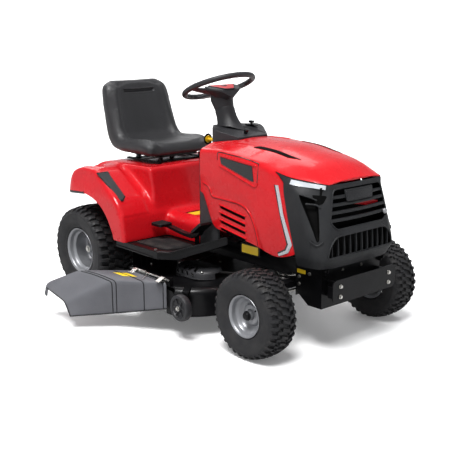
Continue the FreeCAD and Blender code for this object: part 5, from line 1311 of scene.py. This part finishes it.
rings = [deck_ring(0, 95), deck_ring(2.5, 97), deck_ring(2.5, 101), deck_ring(0, 104)]
rings += [deck_ring(-0.02 * k, 110 + 8 * k) for k in range(9)]
rings += [deck_ring(-34 * (1 - math.cos(t)), 191 + 34 * math.sin(t))
    for t in (math.radians(9 * k) for k in range(0, 11))]
rings += [deck_ring(-60, 225), deck_ring(-110, 225), deck_ring(-118, 221), deck_ring(-230, 221)]
rings += [deck_ring(-230, 217), deck_ring(-114, 217), deck_ring(-60, 221.5)]
rings += [deck_ring(-3 - 31 * (1 - math.cos(t)), 190 + 31 * math.sin(t))
    for t in (math.radians(9 * k) for k in range(10, -1, -1))]
rings += [deck_ring(-3, 104), deck_ring(-3, 95)]
v, f = loft(rings, capped=False, loop=True)
shell = piece("deck_pressing", v, f, BLACK, "deck", "black_paint", stand_for=("deck_shell",))
top = loft([deck_ring(-226, 218), deck_ring(-226, 220.8)])
boolean(shell, block(-300, 400, -700, -500, 50, 300))
parts = [top, block(150, 208, -500, -497, 95, 225), block(-91, 208, -500, -497, 208, 225)]
for at in CENTRES:
    parts.append(lathe([(30, 219), (88, 219), (92, 222), (90, 226.5), (84, 228), (36, 228)],
        (at.x, at.y, 0), UP, 64))
for x in (-92, 172):
    parts.append(prism(fillet([(-500, 224), (-478, 224), (-478, 262), (-484, 266), (-513, 266), (-514, 250),
        (-500, 246)], [0, 0, 6, 6, 6, 4, 4], 3), "yz", x - 3, x + 3))
tip = (-325 + 150 * math.cos(math.asin(0.22)), 303)
for s in (-1, 1):
    bracket = prism(fillet([(tip[0] - 26, 224), (tip[0] + 26, 224), (tip[0] + 20, 319), (tip[0] - 20, 319)],
        [0, 0, 12, 12]), "xz", s * 188, s * 192)
    parts.append(bracket)
for wheel, hub_at in ((Vector((280, -520, 157)), CENTRES[0]), (Vector((140, 520, 157)), CENTRES[1])):
    s = 1 if wheel.y > 0 else -1
    inner_y = wheel.y - s * 23
    plate = prism(fillet([(wheel.x - 15, 143), (wheel.x + 15, 143), (wheel.x + 15, 226),
        (wheel.x - 15, 226)], [12, 12, 4, 4]), "xz", inner_y, inner_y - s * 4)
    over = prism(fillet([(wheel.x - 30, 214), (wheel.x + 30, 214), (wheel.x + 34, 226),
        (wheel.x - 34, 226)], 3), "xz", wheel.y - s * 23, wheel.y + s * 20)
    toward = (hub_at - wheel.xy).normalized()
    side = Vector((-toward.y, toward.x)) * 15
    a0, a1 = Vector((wheel.x, inner_y - s * 2)), Vector((wheel.x, inner_y - s * 2)) + toward * 96
    arm = prism([tuple(a0 - side), tuple(a0 + side), tuple(a1 + side), tuple(a1 - side)], "xy", 217, 226)
    parts += [plate, arm]
    axle = rod((wheel.x, inner_y - s * 10, wheel.z), (wheel.x, wheel.y + s * 22, wheel.z), 6)
    piece(f"gauge_axle_{'left' if s > 0 else 'right'}", *joined(axle,
        hex_bolt((wheel.x, wheel.y + s * 19, wheel.z), (0, s, 0), 8, 6),
        hex_bolt((wheel.x, inner_y - s * 4, wheel.z), (0, -s, 0), 8, 5)), ZINC, "deck", "zinc")
piece("deck_fittings", *joined(*parts), BLACK, "deck", "black_paint", bevel=0.8)
piece("deck_hinge_rod", *rod((-100, -508, 257), (180, -508, 257), 4.5), ZINC, "deck", "zinc")
bolts = [hex_bolt((at.x + 76 * math.cos(t), at.y + 76 * math.sin(t), 226.5), UP, 7, 5) for at in CENTRES
    for t in (0.8, 2.4, 3.9, 5.5)]
bolts += [hex_bolt((x, y, 225), UP, 6, 4) for x, y in ((-20, -470), (100, -470), (-180, -330), (-20, 60),
    (20, -60))]
piece("deck_bolts", *joined(*bolts), ZINC, "deck", "zinc")
for name, mat, bevel in (("spindle_housings", CAST, 1.5), ("deck_belt", BELT, 0), ("drive_belt", BELT, 0),
    ("blade_right", STEEL, 0.6), ("blade_left", STEEL, 0.6),
                         ("deck_pulley_right", ZINC, 0.5), ("deck_pulley_left", ZINC, 0.5),
                         ("crank_pulley", ZINC, 0.5), ("transaxle_pulley", ZINC, 0.5)):
    dress(name, mat, bevel)
for at, low, high, reach, word in ((CENTRES[0], 156, 345, 80, "right"), (CENTRES[1], 24, 235, 0, "left")):
    def ring(r, z):
        pts = []
        for k in range(96):
            t = math.tau * k / 96
            pts.append((at.x + (reach if math.cos(t) > 0 else 0) + r * math.cos(t), at.y + r * math.sin(t),
                z))
        return pts
    dome = [ring(r, z) for r, z in ((20, 264), (60, 263.5), (70, 261.5), (77, 256), (81, 248), (85.5, 229),
        (89, 228), (89, 225.6), (84, 225.6), (82, 229), (77.5, 247), (74, 253), (68, 258), (58, 260),
        (20, 260.5))]
    v, f = loft(dome, capped=False)
    n = len(v) // len(dome)
    f += [tuple(range(n))[::-1], tuple(range(len(v) - n, len(v)))]
    c = piece(f"belt_guard_{word}", v, f, DARKER, "deck", "dark_plastic",
        stand_for=("belt_covers",) if word == "right" else ())
    outward(c.data)
    a = [math.radians(high + (360 + low - high) * i / 10) for i in range(11)]
    wedge = [(at.x + 60 * math.cos(a[5]), at.y + 60 * math.sin(a[5]))] + [(at.x + reach + 160 * math.cos(t),
        at.y + 160 * math.sin(t)) for t in a]
    boolean(c, prism(wedge, "xy", 220, 250))
    slots = []
    for i in range(3):
        x = at.x + reach - 66 + 36 * i
        slots.append(prism(fillet([(x, at.y - 74), (x + 16, at.y - 74), (x - 6, at.y - 34),
            (x - 22, at.y - 34)], 3, 2), "xy", 252, 280))
    for i in range(4 if reach else 2):
        x = at.x - 24 + 36 * i
        slots.append(prism(fillet([(x, 236), (x + 14, 236), (x + 4, 251), (x - 10, 251)], 3, 2), "xz",
            at.y - 95, at.y - 70))
    boolean(c, joined(*slots))
    fl = [hex_bolt((at.x + (reach if math.cos(t) > 0 else 0) + 74 * math.cos(t), at.y + 74 * math.sin(t),
        258.5), UP, 5, 3.5) for t in (2.2, 3.6, 5.4)]
    piece(f"belt_guard_bolts_{word}", *joined(*fl), ZINC, "deck", "zinc")
for word in ("right", "left"):
    c = node_frame(f"gauge_wheel_{word}")[0]
    prof = [(6.1, -18), (13, -18), (15, -15), (16, -9), (40, -9), (43, -12), (45, -16.5), (52, -17.8),
        (57, -16), (59.2, -12), (60, -6), (60, 6), (59.2, 12), (57, 16), (52, 17.8), (45, 16.5), (43, 12),
        (40, 9), (16, 9), (15, 15), (13, 18), (6.1, 18)]
    web = []
    for k in range(6):
        a = math.tau * k / 6
        d = Vector((math.cos(a), 0, math.sin(a)))
        nrm = Vector((-d.z, 0, d.x)) * 2.2
        q = [c + d * 14 + nrm, c + d * 44 + nrm, c + d * 44 - nrm, c + d * 14 - nrm]
        web.append(loft([[tuple(p + Vector((0, y, 0))) for p in q] for y in (-14, 14)]))
    piece(f"gauge_roller_{word}", *joined(lathe(prof, c, (0, 1, 0), 72), *web), DARKER, f"gauge_{word[0]}",
        "dark_plastic", stand_for=(f"gauge_wheel_{word}",))

# ------------------------------------------------------------------ discharge chute
STATIONS = [  # rear skirt foot, rear edge, front edge, front foot
    ((-77, -512, 226), (-79, -510, 252), (164, -510, 244), (164, -510, 122)),
    ((-297, -675, 210), (-300, -672, 237), (-60, -640, 230), (-60, -640, 74)),
    ((-444, -797, 126), (-448, -790, 158), (-234, -798, 123), (-192, -796, 62)),
]


def chute_section(t):
    """The chute's section at t, from 0 at its hinge to 2 at its tip: rear skirt, roof and front wall."""
    def at(k):
        i = 0 if k <= 1 else 1
        return [Vector(p).lerp(Vector(q), k - i) for p, q in zip(STATIONS[i], STATIONS[i + 1])]
    soft = 0.10 if 0.10 < t < 1.90 else 0.0
    a, b, c, d = [(p + q * 2 + r) / 4 for p, q, r in zip(at(t - soft), at(t), at(t + soft))]
    if t > 1.72:
        k = min(1.0, (t - 1.72) / 0.28)
        inset = 62 * (1 - math.sqrt(max(0.0, 1 - k * k)))
        a, b = a + (c - b).normalized() * inset, b + (c - b).normalized() * inset
    crown = Vector((0, 0, 5 * math.sin(math.pi * min(1, t / 2))))
    pts = [a]

    def corner(p, q, r, cut):
        e = q + (p - q).normalized() * cut
        f = q + (r - q).normalized() * cut
        return [e * (1 - k) ** 2 + q * 2 * k * (1 - k) + f * k * k for k in (j / 6 for j in range(7))]
    near = corner(a, b, c, 12)
    far = corner(b, c, d, min(22, 0.4 * (d - c).length))
    pts += near
    for k in range(1, 14):
        w = k / 14
        pts.append(near[-1].lerp(far[0], w) + crown * math.sin(math.pi * w))
    pts += far
    pts += [far[-1].lerp(d, k / 8) for k in range(1, 9)]
    return pts


ts = [k / 16 for k in range(27)] + [1.66, 1.70, 1.74, 1.78, 1.82, 1.86, 1.89, 1.92, 1.945, 1.965, 1.98,
    1.992, 2.0]
v, f = loft([[tuple(p) for p in chute_section(t)] for t in ts], closed=False, capped=False)
chute = piece("chute_deflector", v, f, CHUTE, "chute", "chute_plastic", stand_for=("discharge_chute",),
    angle=70)
applied(chute, "SOLIDIFY", thickness=0.0038, offset=-1)
outward(chute.data)
ribs = []
for t in (0.06, 0.42, 0.95, 1.03):
    pts = chute_section(t)
    keep = pts[8:]
    ribs.append(sweep([p + Vector((0, 0, 0.2)) for p in keep], oval(2.4, 2.2, 8)))
edge = [chute_section(t)[0] for t in ts]
ribs.append(sweep(edge, 2.6))
foot = [chute_section(t)[-1] for t in ts]
ribs.append(sweep(foot, 2.8))
ribs.append(sweep([p + Vector((0, 0, -1)) for p in chute_section(1.985)[4:]], 2.8))
piece("chute_ribs", *joined(*ribs), PLASTIC, "chute", "chute_plastic")
knuckles = []
for x in (-70, 128):
    barrel = lathe([(4.7, 0), (8.2, 0), (9, 0.8), (9, 25.2), (8.2, 26), (4.7, 26)], (x, -508, 257),
        (1, 0, 0), 32)
    strap = prism(fillet([(-544, 246), (-512, 251), (-509, 265.6), (-515, 264), (-544, 250.5)], 2, 2), "yz",
        x, x + 26)
    knuckles += [barrel, strap]
piece("chute_knuckles", *joined(*knuckles), ZINC, "chute", "zinc", bevel=0.4)
piece("chute_spring", *joined(coil((-40, -508, 257), (14, -508, 257), 7.5, 1.3, 13),
    sweep(smooth_path([(14, -508, 264.5), (26, -514, 262), (40, -530, 254), (46, -552, 246)], 6), 1.3),
                              sweep(smooth_path([(-40, -508, 264.5), (-48, -514, 264), (-58, -530, 259),
                              (-64, -552, 253)], 6), 1.3)), ZINC, "chute", "zinc")
bolts = [hex_bolt((x, -530, z), (0.05, -0.12, 1), 6, 4) for x, z in ((-57, 249.5), (141, 247.2))]
piece("chute_bolts", *joined(*bolts), ZINC, "chute", "zinc")


def on_chute(u, w, lift):
    """A point on the roof of the chute: u along it from hinge to tip, w from its rear to its front edge."""
    pts = chute_section(u)[7:22]
    k = w * (len(pts) - 1)
    i = min(int(k), len(pts) - 2)
    p = pts[i].lerp(pts[i + 1], k - i)
    return (p.x, p.y, p.z + lift)


grid = [on_chute(lerp(0.30, 0.56, i / 8), lerp(0.30, 0.66, j / 8), 1.2) for i in range(9) for j in range(9)]
faces = [(9 * i + j, 9 * i + j + 1, 9 * i + j + 10, 9 * i + j + 9) for i in range(8) for j in range(8)]
label = piece("chute_label", grid, faces, LABEL, "chute", "yellow_plastic")
modifier(label, "SOLIDIFY", thickness=0.0008)

# ------------------------------------------------------------------ front end, chassis and running gear
for name, mat, bevel in (("front_bumper", BLACK, 1.6), ("front_cradle", BLACK, 1.2),
    ("chassis_frame", BLACK, 1.0), ("seat_base", BLACK, 1.0), ("engine_block", CAST, 1.2),
                         ("engine_shroud", BLACK, 3.0), ("muffler", CAST, 2.5),
                         ("transaxle_case", CAST, 3.0), ("front_axle", BLACK, 1.5),
                         ("spindle_right", CAST, 1.2),
                         ("spindle_left", CAST, 1.2), ("tie_rod", ZINC, 1.0), ("drag_link", ZINC, 1.0),
                         ("sector_gear", STEEL, 0.6), ("pinion_shaft", STEEL, 0.5),
                         ("chassis_bolts", ZINC, 0.5), ("headlight_lenses", LENS, 0.6),
                         ("side_trims", TRIM, 0.6)):
    dress(name, mat, bevel)
plate = lambda x0, x1, z0, z1, y: prism(fillet([(x0, z0), (x1, z0), (x1, z1), (x0, z1)], 3, 3), "xz", y,
    y - 1.2)
bracket = prism(fillet([(318, 408), (318, 358), (444, 358), (444, 408)], [0, 6, 6, 0]), "xz", -197, -200)
shelf = block(318, 444, -199, -140, 366.5, 370.5)
piece("guard_plate", *joined(bracket, shelf), BLACK, "chassis", "black_paint", bevel=0.8)
piece("frame_label", *plate(328, 434, 364, 402, -200.6), LABEL, "chassis", "yellow_plastic", bevel=0.2)
piece("cradle_label", *plate(663, 712, 338, 356, -190.2), LABEL, "chassis", "yellow_plastic", bevel=0.2)
piece("tunnel_label", *prism(fillet([(-128, -150), (-70, -150), (-70, -62), (-128, -62)], 4, 3), "xy",
    458.6, 460.2), LABEL, "chassis", "yellow_plastic", bevel=0.2)
piece("tunnel_label_edge", *prism(fillet([(-150, -156), (-132, -156), (-132, -56), (-150, -56)], 3, 3),
    "xy", 458.6, 460.0), GLOSS, "chassis", "black_paint", bevel=0.2)

guard = prism(fillet([(-352, 150), (-80, 150), (-80, 338), (-352, 338)], [30, 10, 4, 4]), "yz", -306, -303)
ribs = [prism(fillet([(y - 4, 165), (y + 4, 165), (y + 4, 325), (y - 4, 325)], 3, 2), "yz", -303.5, -300)
    for y in (-300, -265, -230, -195, -160, -125)]
piece("drive_guard", *joined(guard, *ribs), BLACK, "chassis", "black_paint", bevel=0.8)


# ------------------------------------------------------------------ floor, light and camera
def lamp(name, light, at, aim=(0, 0, 0)):
    """Puts a light at a place, turned to what it aims at."""
    o = bpy.data.objects.new(name, light)
    o.location = at
    o.rotation_euler = (Vector(aim) - Vector(at)).to_track_quat("-Z", "Y").to_euler()
    scene.collection.objects.link(o)


def area(name, at, aim, size, power):
    light = bpy.data.lights.new(name, "AREA")
    light.shape, light.size, light.size_y, light.energy = "RECTANGLE", size[0], size[1], power
    lamp(name, light, at, aim)


def sun(name, at, angle, strength):
    light = bpy.data.lights.new(name, "SUN")
    light.angle, light.energy = math.radians(angle), strength
    lamp(name, light, at)


sun("key", (0.9, -1.7, 4.2), 26, 3.1)
sun("back", (-3.0, 1.4, 3.0), 40, 0.7)
area("side", (2.4, -4.6, 1.8), (0, 0, 0.4), (3.0, 1.6), 8)
world = bpy.data.worlds.new("studio")
world.use_nodes = True
t = world.node_tree
sky = t.nodes["Background"]
where = t.nodes.new("ShaderNodeTexCoord")
split = t.nodes.new("ShaderNodeSeparateXYZ")
t.links.new(where.outputs["Generated"], split.inputs[0])
t.links.new(ramp(t, split.outputs[2], [(0.0, (0.50, 0.51, 0.53)), (0.12, (0.48, 0.49, 0.51)),
    (0.45, (0.30, 0.30, 0.31)), (1.0, (0.42, 0.42, 0.43))]), sky.inputs[0])
plain = t.nodes.new("ShaderNodeBackground")
plain.inputs[1].default_value = 1.1
seen = t.nodes.new("ShaderNodeLightPath")
both = t.nodes.new("ShaderNodeMixShader")
t.links.new(seen.outputs["Is Camera Ray"], both.inputs[0])
t.links.new(sky.outputs[0], both.inputs[1])
t.links.new(plain.outputs[0], both.inputs[2])
t.links.new(both.outputs[0], t.nodes["World Output"].inputs[0])
plain.inputs[0].default_value = (1, 1, 1, 1)
scene.world = world
floor_mat = material("floor_pale", (0.93, 0.93, 0.93), 0.8, grain=60, bump=0.02, vary=0.01, specular=0.1)
floor_shader = floor_mat.node_tree.nodes["Principled BSDF"]
floor_shader.inputs["Emission Color"].default_value = (1, 1, 1, 1)
floor_shader.inputs["Emission Strength"].default_value = 0.12
tone = floor_shader.inputs["Base Color"].links[0].from_socket
seen = floor_mat.node_tree.nodes.new("ShaderNodeLightPath")
floor_mat.node_tree.links.new(mix(floor_mat.node_tree, seen.outputs["Is Camera Ray"], (0.45, 0.45, 0.45),
    tone), floor_shader.inputs["Base Color"])
mesh = bpy.data.meshes.new("studio_floor")
mesh.from_pydata([(x * FLOOR_HALF, y * FLOOR_HALF, 0) for x, y in ((-1, -1), (1, -1), (1, 1), (-1, 1))], [],
    [(0, 1, 2, 3)])
floor = bpy.data.objects.new("studio_floor", mesh)
mesh.materials.append(floor_mat)
scene.collection.objects.link(floor)

scene.view_settings.view_transform = "Standard"
scene.view_settings.look = "Medium High Contrast"
CAMERA_AT = (3.1627, -2.8398, 1.3980)
LENS_MM = 69.87
azimuth, elevation, roll = (math.radians(a) for a in (47.98, 13.417, -0.08))
back = Vector((math.sin(azimuth) * math.cos(elevation), -math.cos(azimuth) * math.cos(elevation),
    math.sin(elevation)))
right = Vector((math.cos(azimuth), math.sin(azimuth), 0))
up = back.cross(right)
r2, u2 = right * math.cos(roll) + up * math.sin(roll), up * math.cos(roll) - right * math.sin(roll)
camera = bpy.data.cameras.new("photo_view")
camera.lens, camera.sensor_width = LENS_MM, 36.0
cam = bpy.data.objects.new("photo_view", camera)
cam.matrix_world = Matrix.Translation(CAMERA_AT) @ Matrix((r2, u2, back)).transposed().to_4x4()
scene.collection.objects.link(cam)
scene.camera = cam
